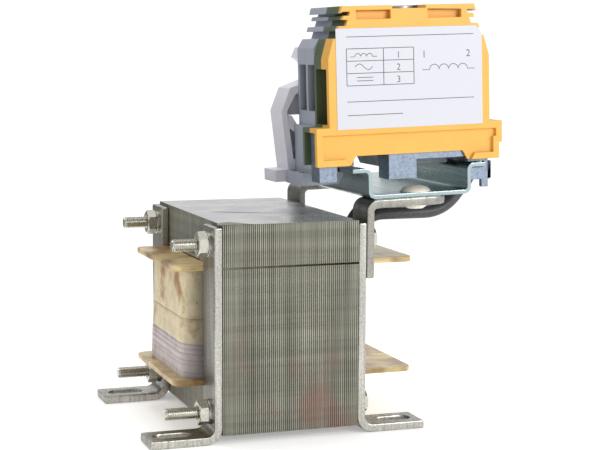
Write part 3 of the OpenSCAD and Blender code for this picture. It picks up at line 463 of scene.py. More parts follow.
def repeat(bm, places):
    """Copies the shape to each place, in millimetres, and takes the first one away."""
    shape = whole(bm)
    for place in places:
        made = bmesh.ops.duplicate(bm, geom=shape)["geom"]
        moved = [g for g in made if isinstance(g, bmesh.types.BMVert)]
        bmesh.ops.translate(bm, verts=moved, vec=[mm(p) for p in place])
    bmesh.ops.delete(bm, geom=[v for v in shape if isinstance(v, bmesh.types.BMVert)], context="VERTS")


def prism(outline, start_y, end_y):
    """Solid of an outline in the rail's own plane, in millimetres, between two places along the rail."""
    bm = bmesh.new()
    slab(bm, [(mm(x), mm(start_y), mm(z)) for x, z in outline], (0, mm(end_y - start_y), 0))
    return bm


def block(first, last):
    """Box between two corners in the rail's frame."""
    (left, right), (front, back), (bottom, top) = (sorted(pair) for pair in zip(first, last))
    return prism([(left, bottom), (right, bottom), (right, top), (left, top)], front, back)


def pin(x, y, low, high, diameter):
    """Upright round bar in the rail's frame."""
    bm = bmesh.new()
    radius = mm(diameter / 2)
    middle = Matrix.Translation((mm(x), mm(y), mm((low + high) / 2)))
    bmesh.ops.create_cone(bm, cap_ends=True, segments=32, radius1=radius, radius2=radius,
                          depth=mm(high - low), matrix=middle)
    return bm


def loose(bm):
    """Object of its own for a mesh, for the cutting only."""
    mesh = bpy.data.meshes.new("Loose")
    bm.to_mesh(mesh)
    bm.free()
    item = bpy.data.objects.new("Loose", mesh)
    bpy.context.scene.collection.objects.link(item)
    return item


def carve(bm, *cutters):
    """Solid with the cutters' shapes taken out of it."""
    items = [loose(shape) for shape in (bm, *cutters)]
    for item in items[1:]:
        cut = items[0].modifiers.new("Cut", "BOOLEAN")
        cut.operation = "DIFFERENCE"
        cut.solver = "EXACT"
        cut.object = item
    bpy.context.view_layer.update()
    mesh = bpy.data.meshes.new_from_object(items[0].evaluated_get(bpy.context.evaluated_depsgraph_get()))
    made = bmesh.new()
    made.from_mesh(mesh)
    bpy.data.meshes.remove(mesh)
    for item in items:
        bpy.data.meshes.remove(item.data)
    bmesh.ops.remove_doubles(made, verts=made.verts, dist=mm(0.002))
    bmesh.ops.dissolve_limit(made, angle_limit=math.radians(0.4), verts=made.verts, edges=made.edges)
    return made


def join(bm, part):
    """Adds another shape to a shape."""
    mesh = bpy.data.meshes.new("Part")
    part.to_mesh(mesh)
    part.free()
    bm.from_mesh(mesh)
    bpy.data.meshes.remove(mesh)


def on_rail(bm):
    """Moves a shape from the rail's own frame to its place."""
    bmesh.ops.transform(bm, matrix=RAIL, verts=bm.verts)


def mould(node, bm, material, slot, sizes):
    """Rounds the edges of a moulding, moves it to its place on the rail and puts it in a node's place."""
    round_edges(bm, sizes.plastic_edge, mm(0.35))
    on_rail(bm)
    finish_piece(node + "_piece", bm, material, slot, node)


class REACTOR_OT_stage(bpy.types.Operator):
    """Adds the floor, the light and the camera at the photograph's angle"""
    bl_idname = "reactor.stage"
    bl_label = "Stage"
    room_light = 1.1
    floor_radius, floor_glow = 0.25, 0.3
    # Direction of each flag, how near to it the light starts and ends to fall, and how much is left
    flags = (
        ((-0.5, 0.86, 0.0), 0.81, 0.94, 0.25),
        ((-0.8, -0.6, 0.1), 0.6, 0.9, 0.45),
        ((0, -0.2, 1), 0.6, 0.95, 0.4),
    )
    # Place, size and power of the softboxes, and the point that they face
    lamps = (("Key softbox", (0.55, -1.0, 0.45), 0.45, 6), ("Top softbox", (-0.1, 0.3, 1.1), 0.5, 3))
    aim_at = (0.01, 0, 0.05)
    # Camera's place in millimetres, its yaw, pitch and roll in degrees, and its lens
    camera_at = (-117.07, -372.12, 92.68)
    camera_turn = (19.188, -6.502, 0.199)
    focal_length = 92.92

    def execute(self, context):
        scene = context.scene
        scene.view_settings.view_transform = "Standard"
        self.camera(scene)
        self.floor(scene)
        self.world(scene)
        for lamp in self.lamps:
            self.lamp(scene, *lamp)
        return {"FINISHED"}

    def floor(self, scene):
        """White card under the part, which glows a little."""
        bm = bmesh.new()
        bmesh.ops.create_circle(bm, cap_ends=True, segments=128, radius=self.floor_radius)
        mesh = bpy.data.meshes.new("Floor")
        bm.to_mesh(mesh)
        bm.free()
        material, tree, shader, place = start("White card", Roughness=0.9)
        fibres = add(tree, "TexNoise", {"Vector": place, "Scale": per(40)})
        tone = add(tree, "Mix", {0: fibres, 6: linear("#FCFCFC"), 7: linear("#FFFFFF")}, data_type="RGBA")
        fill(shader, {"Base Color": tone, "Emission Color": (1, 1, 1), "Emission Strength": self.floor_glow})
        mesh.materials.append(material)
        floor = bpy.data.objects.new("Floor", mesh)
        scene.collection.objects.link(floor)

    def world(self, scene):
        """White light all round, darker overhead and on the left, as in a studio with flags."""
        world = bpy.data.worlds.new("Studio")
        scene.world = world
        world.use_nodes = True
        tree = world.node_tree
        way = add(tree, "TexCoord").outputs["Generated"]
        tone = 1.0
        for side, far, near, dark in self.flags:
            toward = Vector(side).normalized()
            near_by = add(tree, "VectorMath", (way, toward), operation="DOT_PRODUCT")
            level = add(tree, "MapRange", (near_by, far, near, 1.0, dark), interpolation_type="SMOOTHSTEP")
            tone = add(tree, "Math", (tone, level), operation="MULTIPLY")
        strength = add(tree, "Math", (tone, self.room_light), operation="MULTIPLY")
        fill(tree.nodes["Background"], {"Strength": strength, "Color": (1, 1, 1)})

    def lamp(self, scene, name, where, size, power):
        """One softbox that faces the part."""
        light = bpy.data.lights.new(name, "AREA")
        light.size = size
        light.energy = power
        lamp = bpy.data.objects.new(name, light)
        scene.collection.objects.link(lamp)
        aim = Vector(self.aim_at) - Vector(where)
        lamp.location = where
        lamp.rotation_euler = aim.to_track_quat("-Z", "Y").to_euler()

    def camera(self, scene):
        """Camera at the photograph's place."""
        yaw, pitch, roll = (math.radians(a) for a in self.camera_turn)
        ahead = Vector((math.sin(yaw) * math.cos(pitch), math.cos(yaw) * math.cos(pitch), math.sin(pitch)))
        right = Vector((math.cos(yaw), -math.sin(yaw), 0))
        up = right.cross(ahead)
        turned = right * math.cos(roll) + up * math.sin(roll)
        upright = up * math.cos(roll) - right * math.sin(roll)
        lens = bpy.data.cameras.new("Camera")
        lens.sensor_width = 36
        lens.lens = self.focal_length
        lens.clip_start = 0.01
        lens.clip_end = 30
        camera = bpy.data.objects.new("Camera", lens)
        scene.collection.objects.link(camera)
        turned_frame = Matrix((turned, upright, -ahead)).transposed().to_4x4()
        camera.matrix_world = Matrix.Translation([mm(p) for p in self.camera_at]) @ turned_frame
        scene.camera = camera


class REACTOR_OT_core(bpy.types.Operator):
    """Builds the core sheet by sheet, with the paper in its air gap and the varnish on its top"""
    bl_idname = "reactor.core"
    bl_label = "Core"
    leg_width = mm(10)
    # Varnish flake and the dent's painted shade on the top, in millimetres; the flake's last points lie on
    # the front edge
    flake = ((-18.2, -29.2), (-17.2, -26.6), (-15.6, -24.6), (-13.8, -24.2), (-12.2, -26.2), (-10.4, -28.8))
    flake_ends = (-9.4, -17.6)
    dent_start, dent_end = (-11.6, -0.5), (8, -11.3)
    dent_width = mm(1.1)

    def execute(self, context):
        sizes, colours = context.scene.reactor_sizes, context.scene.reactor_colours
        steel = lamination_steel(colours.steel, sizes.lamination)
        chance = random.Random(7)
        for node, outline, top in (("e_core", self.e_shape, 0), ("i_yoke", self.i_shape, sizes.skin)):
            low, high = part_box(node)
            high.z -= top
            bm = bmesh.new()
            for i in range(round((high.x - low.x) / sizes.lamination)):
                self.sheet(bm, outline(low, high), low.x + i * sizes.lamination, sizes, chance)
            finish_piece(node + "_sheets", bm, steel, "lamination_steel", node)
        self.gap_paper(chance)
        self.top_skin(sizes, colours)
        return {"FINISHED"}

    def e_shape(self, low, high):
        """Outline of an E sheet, open at the top."""
        leg, sill = self.leg_width, low.z + self.leg_width
        return [(low.y, low.z), (high.y, low.z), (high.y, high.z), (high.y - leg, high.z),
                (high.y - leg, sill), (leg, sill), (leg, high.z), (-leg, high.z), (-leg, sill),
                (low.y + leg, sill), (low.y + leg, high.z), (low.y, high.z)]

    def i_shape(self, low, high):
        """Outline of an I sheet."""
        return [(low.y, low.z), (high.y, low.z), (high.y, high.z), (low.y, high.z)]

    def sheet(self, bm, outline, x, sizes, chance):
        """One sheet, shifted a little against its neighbours."""
        shift = sizes.sheet_shift
        dy = chance.uniform(-shift, shift) / 2
        points = [(x + sizes.sheet_gap / 2, y - math.copysign(shift / 2, y) + dy, z) for y, z in outline]
        slab(bm, points, (sizes.lamination - sizes.sheet_gap, 0, 0))

    def gap_paper(self, chance):
        """Torn paper edge, proud at the nut side and drawn back at the lead side."""
        low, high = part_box("gap_sheet")
        steps, clear, drawn_back, tear = 40, mm(0.02), mm(1.8), mm(0.3)
        level = low.z + clear
        front = []
        for i in range(steps + 1):
            part = i / steps
            torn = mm(0.05) + drawn_back * part + chance.uniform(0, tear)
            front.append((low.x + (high.x - low.x) * part, low.y + torn, level))
        back = [(high.x, high.y, level), (low.x, high.y, level)]
        bm = bmesh.new()
        slab(bm, front + back, (0, 0, high.z - low.z - 2 * clear))
        kraft = linear("#B8AE98")
        # The gap paper's faces along Y get the same painted shade as the wrap.
        paper = soaked_paper("Kraft gap paper", kraft, kraft, 0, 0.15)
        finish_piece("gap_sheet_piece", bm, paper, "gap_fibre", "gap_sheet")

    def top_skin(self, sizes, colours):
        """Varnish film over the sheets, with a dark flake at its front left corner and the dent across it
        drawn as a dark strip of painted shade.
        """
        low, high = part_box("i_yoke")
        edge = mm(0.05)
        left, right, front, back = low.x + edge, high.x - edge, low.y + edge, high.y - edge
        outline = [(left, front), (right, front), (right, back), (left, back)]
        level = high.z - sizes.skin
        bm = bmesh.new()
        slab(bm, [(x, y, level) for x, y in outline], (0, 0, sizes.skin * 0.7))
        varnish = varnished_top(colours.steel, sizes.lamination)
        finish_piece("varnish_skin", bm, varnish, "lamination_steel")
        dent = bmesh.new()
        flake = [(mm(x), mm(y)) for x, y in self.flake] + [(mm(x), front) for x in self.flake_ends]
        slab(dent, [(x, y, level) for x, y in flake], (0, 0, sizes.skin * 0.85))
        # Painted shade: the dent is a dark strip standing a little proud of the varnish, not a groove.
        start_at, end_at = (Vector((mm(x), mm(y))) for x, y in (self.dent_start, self.dent_end))
        side = (end_at - start_at).orthogonal().normalized() * self.dent_width
        points = [start_at, start_at.lerp(end_at, 0.1) + side, end_at, start_at.lerp(end_at, 0.25) - side]
        slab(dent, [(p.x, p.y, level) for p in points], (0, 0, sizes.skin * 0.85))
        dark = moulded_polyamide("Dark flake and painted dent shade", linear("#3A3A36"))
        finish_piece("varnish_flake_and_dent_shade", dent, dark, "lamination_steel")


class REACTOR_OT_coil(bpy.types.Operator):
    """Dresses the bobbin, the winding and its paper wrap"""
    bl_idname = "reactor.coil"
    bl_label = "Coil"
    # Levels of the tape's edges and of the paper's lap, in millimetres
    tape_edges = (21.8, 20.7, 19.5, 17.9, 16.8, 14.9)
    paper_edge = 28.0
    lap = mm(0.16)
    wall, radius = mm(0.6), mm(6)
    corner_x, corner_y = mm(25), mm(19)
    nut_side, bottom, taper = mm(-17.5), mm(13.5), 0.03
    slack, ripple, groove, tape = mm(0.16), mm(0.14), mm(0.26), mm(0.12)

    def execute(self, context):
        sizes, colours = context.scene.reactor_sizes, context.scene.reactor_colours
        bm = solid_copy("bobbin")
        round_off(bm, [e for e in bm.edges if self.is_corner(e)], sizes.board_corner, 6)
        round_edges(bm, sizes.board_edge)
        finish_piece("bobbin_piece", bm, pressboard(colours.board), "pressboard", "bobbin")
        bm = solid_copy("winding")
        self.draw_in(bm, 1.5)
        wire = plated_steel("Enamelled copper wire", linear("#A8572A"), streak=(20, 20, 0.9))
        finish_piece("winding_piece", bm, wire, "copper", "winding")
        self.wrap(colours)
        return {"FINISHED"}

    def is_corner(self, edge):
        """Whether an edge stands upright at an outer corner of a board."""
        first, last = (v.co for v in edge.verts)
        outside = all(abs(p.x) > self.corner_x and abs(p.y) > self.corner_y for p in (first, last))
        return outside and abs(first.z - last.z) > mm(1)

    def wrap(self, colours):
        """Paper wrap with a lap half way up, uneven sides and turns of tape at its foot."""
        bm = solid_copy("coil_wrap")
        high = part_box("coil_wrap")[1]
        levels = [mm(z) + d for z in (*self.tape_edges, self.paper_edge) for d in (-self.lap, 0, self.lap)]
        levels += [mm(z) for z in range(15, 40, 2)]
        cuts = [((0, 0, z), (0, 0, 1)) for z in levels]
        cuts += [((mm(x), 0, 0), (1, 0, 0)) for x in range(-18, 19, 3)]
        cuts += [((0, mm(y), 0), (0, 1, 0)) for y in range(-12, 13, 3)]
        for point, way in cuts:
            bmesh.ops.bisect_plane(bm, geom=whole(bm), plane_co=point, plane_no=way)
        straight = Vector((high.x - self.radius, high.y - self.radius, 0))
        for v in bm.verts:
            out = Vector((max(abs(v.co.x) - straight.x, 0), max(abs(v.co.y) - straight.y, 0), 0))
            depth = max(abs(v.co.x) - high.x, abs(v.co.y) - high.y)
            if out.x and out.y:
                depth = max(depth, out.length - self.radius)
            if depth < -self.wall / 2:
                continue
            lean = Vector((math.copysign(out.x, v.co.x), math.copysign(out.y, v.co.y), 0))
            if lean.length:
                v.co -= lean.normalized() * self.dip(v.co)
        self.draw_in(bm, 1.4)
        paper = soaked_paper("Varnished wrap paper", colours.paper, colours.tape, mm(self.tape_edges[0]))
        finish_piece("coil_wrap_piece", bm, paper, "coil_paper", "coil_wrap", crease=60)

    def draw_in(self, bm, distance):
        """Draws the nut side of the coil in, more towards its top."""
        for v in bm.verts:
            if v.co.x < self.nut_side:
                v.co.x += mm(distance) + (v.co.z - self.bottom) * self.taper

    def dip(self, point):
        """Depth of the wrap's surface below its solid: sags, a lap and the gaps between turns of tape."""
        sag = self.slack + self.ripple * noise.noise(point * 180)
        for edge in (*self.tape_edges, self.paper_edge):
            if abs(point.z - mm(edge)) < mm(0.02):
                sag += self.groove
        if point.z < mm(self.tape_edges[0]):
            sag -= self.tape
        return max(sag, 0)


class REACTOR_OT_feet(bpy.types.Operator):
    """Dresses the four strip feet and the two rail brackets"""
    bl_idname = "reactor.feet"
    bl_label = "Feet and Brackets"
    end_from, longer, end_radius = mm(5.2), mm(1.8), mm(4.6)

    def execute(self, context):
        sizes, colours = context.scene.reactor_sizes, context.scene.reactor_colours
        # The strips' faces along Y get painted light, half as bright again.
        zinc = plated_steel("Zinc plated strip", colours.zinc, streak=(0.9, 3, 26), dark=0.5, painted_y_face_light=1.5)
        for node in ("foot_front_left", "foot_back_left", "foot_front_right", "foot_back_right"):
            dress(node, zinc, "zinc_steel", sizes.strip_edge)
        # The brackets' faces along Y get painted light, a fifth brighter.
        dull = plated_steel("Dull zinc plated bracket", shade(colours.zinc, 0.85), streak=(3, 3, 9),
                            dark=0.5, painted_y_face_light=1.2)
        for node in ("rail_bracket_front", "rail_bracket_back"):
            bm = solid_copy(node)
            self.round_end(bm)
            round_edges(bm, sizes.strip_edge)
            finish_piece(node + "_piece", bm, dull, "zinc_steel", node)
        return {"FINISHED"}

    def round_end(self, bm):
        """Lengthens the strip's free end under the rail and rounds it off."""
        back = RAIL.inverted()
        ends = [v for v in bm.verts if (back @ v.co).x > self.end_from]
        bmesh.ops.translate(bm, verts=ends, vec=RAIL.to_3x3() @ Vector((self.longer, 0, 0)))
        upright = [e for e in bm.edges if e.verts[0] in ends and e.verts[1] in ends
                   and abs((back.to_3x3() @ (e.verts[0].co - e.verts[1].co)).normalized().z) > 0.9]
        round_off(bm, upright, self.end_radius, 8)


class REACTOR_OT_clamping(bpy.types.Operator):
    """Builds the threaded bolts, the washers and the chamfered nuts"""
    bl_idname = "reactor.clamping"
    bl_label = "Clamping Bolts"
    # Sizes in millimetres
    flat, shank = 2.75, 1.5
    bolt_length, thread_length, shank_start = 48.9, 10.2, 9.6
    head, nut, washer = 2, 2.4, 0.5
    # Place of the bolts on each side: height, and the face that the head bears on
    bolt_y = 25
    bolts = ((7, 19), (47, 21))
    nut_face, washer_face = -21.9, -19.5

    def execute(self, context):
        sizes = context.scene.reactor_sizes
        zinc = plated_steel("Zinc plated bolts", linear("#C9C7BC"), rough=(0.2, 0.34), streak=(6, 2, 2))
        rows = [(y, z, bearing) for y in (-self.bolt_y, self.bolt_y) for z, bearing in self.bolts]
        bm = bmesh.new()
        self.thread(bm, sizes)
        self.bolt(bm)
        repeat(bm, [(bearing, y, z) for y, z, bearing in rows])
        finish_piece("clamp_bolts_piece", bm, zinc, "bolt_steel", "clamp_bolts")
        bm = bmesh.new()
        self.nut_ring(bm)
        repeat(bm, [(self.nut_face, y, z) for y, z, _ in rows])
        finish_piece("clamp_nuts_piece", bm, zinc, "bolt_steel", "clamp_nuts", crease=25)
        bm = bmesh.new()
        self.washer_ring(bm)
        repeat(bm, [(self.washer_face, y, z) for y, z, _ in rows])
        finish_piece("clamp_washers_piece", bm, zinc, "bolt_steel", "clamp_washers")
        return {"FINISHED"}

    def corner(self, x, rim, way):
        """Step of an outline along the hexagon's sides, up to the chamfer that starts at the rim."""
        def step(angle):
            across = self.flat / math.cos((angle + math.pi / 6) % (math.pi / 3) - math.pi / 6)
            return x + way * (across - rim) * math.tan(math.radians(30)), across
        return step

    def thread(self, bm, sizes):
        """Helical thread from the bolt's tip into the nut, with its first turn cut down."""
        pitch, crest, steps = sizes.thread_pitch, mm(self.shank), 24
        root = crest - sizes.thread_depth
        tip, end = mm(-self.bolt_length), mm(self.thread_length - self.bolt_length)
        verts = []
        for i in range(-1, round((end - tip) / pitch) + 2):
            for part, r in ((0, root), (0.2, root), (0.45, crest), (0.65, crest)):
                verts.append(bm.verts.new((tip + (i + part) * pitch, r, 0)))
        edges = [bm.edges.new(pair) for pair in zip(verts, verts[1:])]
        bmesh.ops.spin(bm, geom=verts + edges, cent=(0, 0, 0), axis=(1, 0, 0), dvec=(pitch / steps, 0, 0),
                       angle=2 * math.pi, steps=steps, use_merge=False)
        bmesh.ops.remove_doubles(bm, verts=bm.verts, dist=mm(0.001))
        for x, way in ((tip, -1), (end, 1)):
            bmesh.ops.bisect_plane(bm, geom=whole(bm), plane_co=(x, 0, 0), plane_no=(way, 0, 0),
                                   clear_outer=True)
        close(bm)
        for v in bm.verts:
            most = root - mm(0.05) + (v.co.x - tip) * 0.7
            reach = math.hypot(v.co.y, v.co.z)
            if reach > most:
                v.co.y *= most / reach
                v.co.z *= most / reach

    def bolt(self, bm):
        """Plain shank and domed hexagon head."""
        part = bmesh.new()
        rim, dome, shank = self.flat * 0.96, self.flat * 0.84, self.shank - 0.05
        hidden, shoulder = self.shank_start - self.bolt_length, self.head - 0.25
        lathe(part, [
            (hidden, 0), (hidden, shank), (0, shank), (0, rim), self.corner(0, rim, 1),
            self.corner(shoulder, dome, -1), (shoulder, dome), (self.head - 0.06, dome * 0.6),
            (self.head, 0),
        ])
        join(bm, part)

    def nut_ring(self, bm):
        """Hexagon nut with both faces chamfered."""
        rim, bore = self.flat * 0.95, self.shank + 0.04
        lathe(bm, [
            (0.3, bore), (0, bore + 0.25), (0, rim), self.corner(0, rim, 1),
            self.corner(self.nut, rim, -1), (self.nut, rim), (self.nut, bore), (0.3, bore),
        ])

    def washer_ring(self, bm):
        """Flat washer with a bevelled outer lip."""
        outer, bore, lip = 3, self.shank + 0.04, 0.1
        lathe(bm, [
            (0, bore), (0, outer - lip), (lip, outer), (self.washer, outer), (self.washer, bore), (0, bore),
        ])


class REACTOR_OT_rail(bpy.types.Operator):
    """Dresses the mounting rail and its rivets"""
    bl_idname = "reactor.rail"
    bl_label = "Mounting Rail"
    rivet_y = 25

    def execute(self, context):
        sizes, colours = context.scene.reactor_sizes, context.scene.reactor_colours
        steel = plated_steel("Blue passivated rail", colours.rail_zinc, rough=(0.22, 0.38),
                             streak=(1.2, 22, 1.2))
        dress("mounting_rail", steel, "rail_steel", sizes.rail_edge)
        bm = bmesh.new()
        self.rivet(bm)
        repeat(bm, [(0, -self.rivet_y, 0), (0, self.rivet_y, 0)])
        on_rail(bm)
        bright = plated_steel("Bright rivet steel", linear("#F0ECE0"), (0.35, 0.5), (3, 3, 3), metallic=0.3)
        finish_piece("rail_rivets_piece", bm, bright, "rivet_steel", "rail_rivets")
        return {"FINISHED"}

    def rivet(self, bm):
        """Flat domed head in the rail, shank and closing head under the bracket, about the Z axis."""
        lathe(bm, [(2.5, 0), (2.42, 1.6), (2.1, 2.9), (1.5, 3.6), (1.2, 3.8), (1, 3.75), (1, 2), (-2, 2),
                   (-2, 2.9), (-2.5, 2.8), (-3.1, 1.9), (-3.2, 0)])
        bmesh.ops.rotate(bm, verts=bm.verts, cent=(0, 0, 0), matrix=Matrix.Rotation(-math.pi / 2, 3, "Y"))


class OnRail:
    """Middle that all mouldings on the rail share, in the rail's frame in millimetres"""
    middle = -2.4

    def centred(self, points, side=1):
        """Points of the right end, or of the left one, measured from the middle."""
        return [(self.middle + side * x, z) for x, z in points]


class RailTerminal(OnRail):
    """Shape that the earth and feed-through terminals share"""
    body = 20.9
    top = 46.15
    block_top = 38.6
    brow_lean = 1.4
    wall = 1.2
    clamp = 9.2
    web_inset, web_lean = 3.7, 0.34
    # Lower edge, upper edge and reach of each marker rib
    marker_ribs = ((40.3, 41.5, 1.8), (42.9, 43.9, 1.4))
    hook_root, hook_lip = 44.8, 44.4
    hook_neck, hook_reach = 1.7, 2.5

    def web(self, z):
        """Half width of the leaning web that carries the marker ribs, at a height."""
        return self.body - self.web_inset - self.web_lean * (z - self.block_top)

    def ribs(self):
        """One end above the wire entry's block: web, two marker ribs and the top hook."""
        web, root = self.web, self.hook_root
        points = [(web(self.block_top), self.block_top)]
        for low, high, reach in self.marker_ribs:
            points += [(web(low), low), (web(low) + reach, low)]
            points += [(web(high) + reach, high), (web(high), high)]
        points += [(web(root), root), (web(root) + self.hook_neck, root)]
        points += [(web(root) + self.hook_reach, self.hook_lip), (web(self.top) + self.hook_reach, self.top)]
        return points

    def outer_end(self, brow):
        """One end from the brow over the wire entry up to the top hook."""
        return [(self.body, brow), (self.body - self.brow_lean, self.block_top)] + self.ribs()

    def inner_end(self, brow):
        """One end of the space inside the walls, from the top down to the brow."""
        wall, web = self.wall, self.web
        return [(web(self.top) - wall, self.top - wall), (web(self.block_top) - wall, self.block_top - wall),
                (self.body - wall, brow - wall)]


class REACTOR_OT_earth_terminal(RailTerminal, bpy.types.Operator):
    """Builds the yellow and green halves of the earth terminal and dresses its metal parts"""
    bl_idname = "reactor.earth_terminal"
    bl_label = "Earth Terminal"
    shoulder = 24.2
    brow = 33.8
    belly = 10.6
    entry_low, entry_high = 18.2, 31.4
    screw_hole = 6.4
    notch, notch_depth = 4.3, 0.8
    panel_inset, panel_low, panel_high = 1.6, 8, 15.8
    front, inner_front, split, inner_back, back = -29, -27.4, -24, -20.2, -19

    def execute(self, context):
        sizes, colours = context.scene.reactor_sizes, context.scene.reactor_colours
        yellow = moulded_polyamide("Yellow polyamide", colours.yellow)
        green = moulded_polyamide("Green polyamide", colours.green)
        mould("earth_cover", self.cover(), yellow, "yellow_plastic", sizes)
        mould("earth_housing", self.housing(), green, "green_plastic", sizes)
        zinc = plated_steel("Tumbled zinc plate", colours.foot_zinc, rough=(0.3, 0.5),
                            streak=(0.9, 0.9, 0.9), speck=0.35, dark=0.62, speck_bump=0.5)
        dress("earth_foot", zinc, "foot_steel", mm(0.16), mm(0.4))
        paint("earth_bar", plated_steel("Brass bar", linear("#C9A85A")))
        nickel = plated_steel("Nickel plated steel", linear("#B9B8B0"))
        for node in ("earth_cages", "earth_screws", "earth_foot_screw"):
            dress(node, nickel, "screw_steel", mm(0.12), mm(0.3))
        return {"FINISHED"}

    def lower(self, inset):
        """Lower outline from the right side round to the left, drawn in by an inset."""
        e, body, shoulder = inset, self.body, self.shoulder
        return [(body - e, 17.6 - e), (shoulder - e, 17.6 - e), (shoulder - e, 12.3 + e),
                (shoulder - 0.8 - e, 12.3 + e), (shoulder - 0.8 - e, 8.4 + e), (15.2 + e, 8.4 + e),
                (14 + e, self.belly + e), (-14 - e, self.belly + e), (-15.2 - e, 8.4 + e),
                (-shoulder + e, 8.4 + e), (-shoulder + e, 17.6 - e), (-body + e, 17.6 - e)]

    def outline(self):
        """Outline that both halves share."""
        end = self.outer_end(self.brow)
        return self.centred(end[::-1]) + self.centred(self.lower(0)) + self.centred(end, -1)

    def inside(self):
        """Outline of the space inside the walls."""
        end = self.inner_end(self.brow)
        return self.centred(end) + self.centred(self.lower(self.wall)) + self.centred(end[::-1], -1)

    def openings(self):
        """Wire entries, the left end for the foot's leg, the screw holes and the top notch."""
        inner, outer, mid = self.inner_front, self.inner_back, self.middle
        reach = self.shoulder + 1
        cuts = []
        for side in (-1, 1):
            cuts.append(block((mid + side * (self.body - self.wall - 1), inner, self.entry_low),
                              (mid + side * reach, outer, self.entry_high)))
        under = 7
        cuts.append(block((mid - reach, inner, under), (-24.3, outer, 16.4)))
        cuts.append(block((-25.6, inner, under), (-20.8, outer, 16.1)))
        cuts.append(block((-7.9, inner, under), (19.9, self.split, 16.1)))
        for x in (-self.clamp, 0, self.clamp):
            cuts.append(pin(mid + x, (inner + outer) / 2, 42, 48, self.screw_hole))
        cuts.append(block((mid - self.notch, self.front - 1, self.top - self.notch_depth),
                          (mid + self.notch, self.back + 1, self.top + 1)))
        return cuts

    def cover(self):
        """Yellow half: a front wall with windows and a sunk panel, and the side walls behind it."""
        mid = self.middle
        cuts = [prism(self.inside(), self.inner_front, self.split + 1), *self.openings()]
        arch = self.belly + self.panel_inset
        panel = [(x, self.panel_low if z == arch else min(z, self.panel_high))
                 for x, z in self.lower(self.panel_inset)]
        cuts.append(prism(self.centred(panel), self.front - 1, self.front + 1))
        for side in (-1, 1):
            x = mid + side * self.clamp
            cuts.append(block((x - 4.4, self.front - 1, 43), (x + 4.4, self.inner_front + 0.1, 45.1)))
            cuts.append(block((mid + side * self.web(self.top), self.inner_front, self.block_top),
                              (mid + side * 30, self.split + 1, self.top + 1)))
        bm = carve(prism(self.outline(), self.front, self.split), *cuts)
        for side in (-1, 1):
            x = mid + side * self.clamp
            join(bm, block((x - 4.8, self.inner_front, 42.6), (x + 4.8, self.inner_front + 0.4, 44.9)))
        return bm

    def housing(self):
        """Green half, with the marker ribs of both ends reaching forward behind the yellow front wall."""
        bm = carve(prism(self.outline(), self.split, self.back),
                   prism(self.inside(), self.split - 1, self.inner_back), *self.openings())
        inner_edge = self.web(self.top)
        end = [(inner_edge, self.block_top), *self.ribs(), (inner_edge, self.top)]
        for side in (-1, 1):
            rib = carve(prism(self.centred(end, side), self.inner_front, self.split),
                        prism(self.inside(), self.inner_front - 1, self.split + 1))
            join(bm, rib)
        return bm


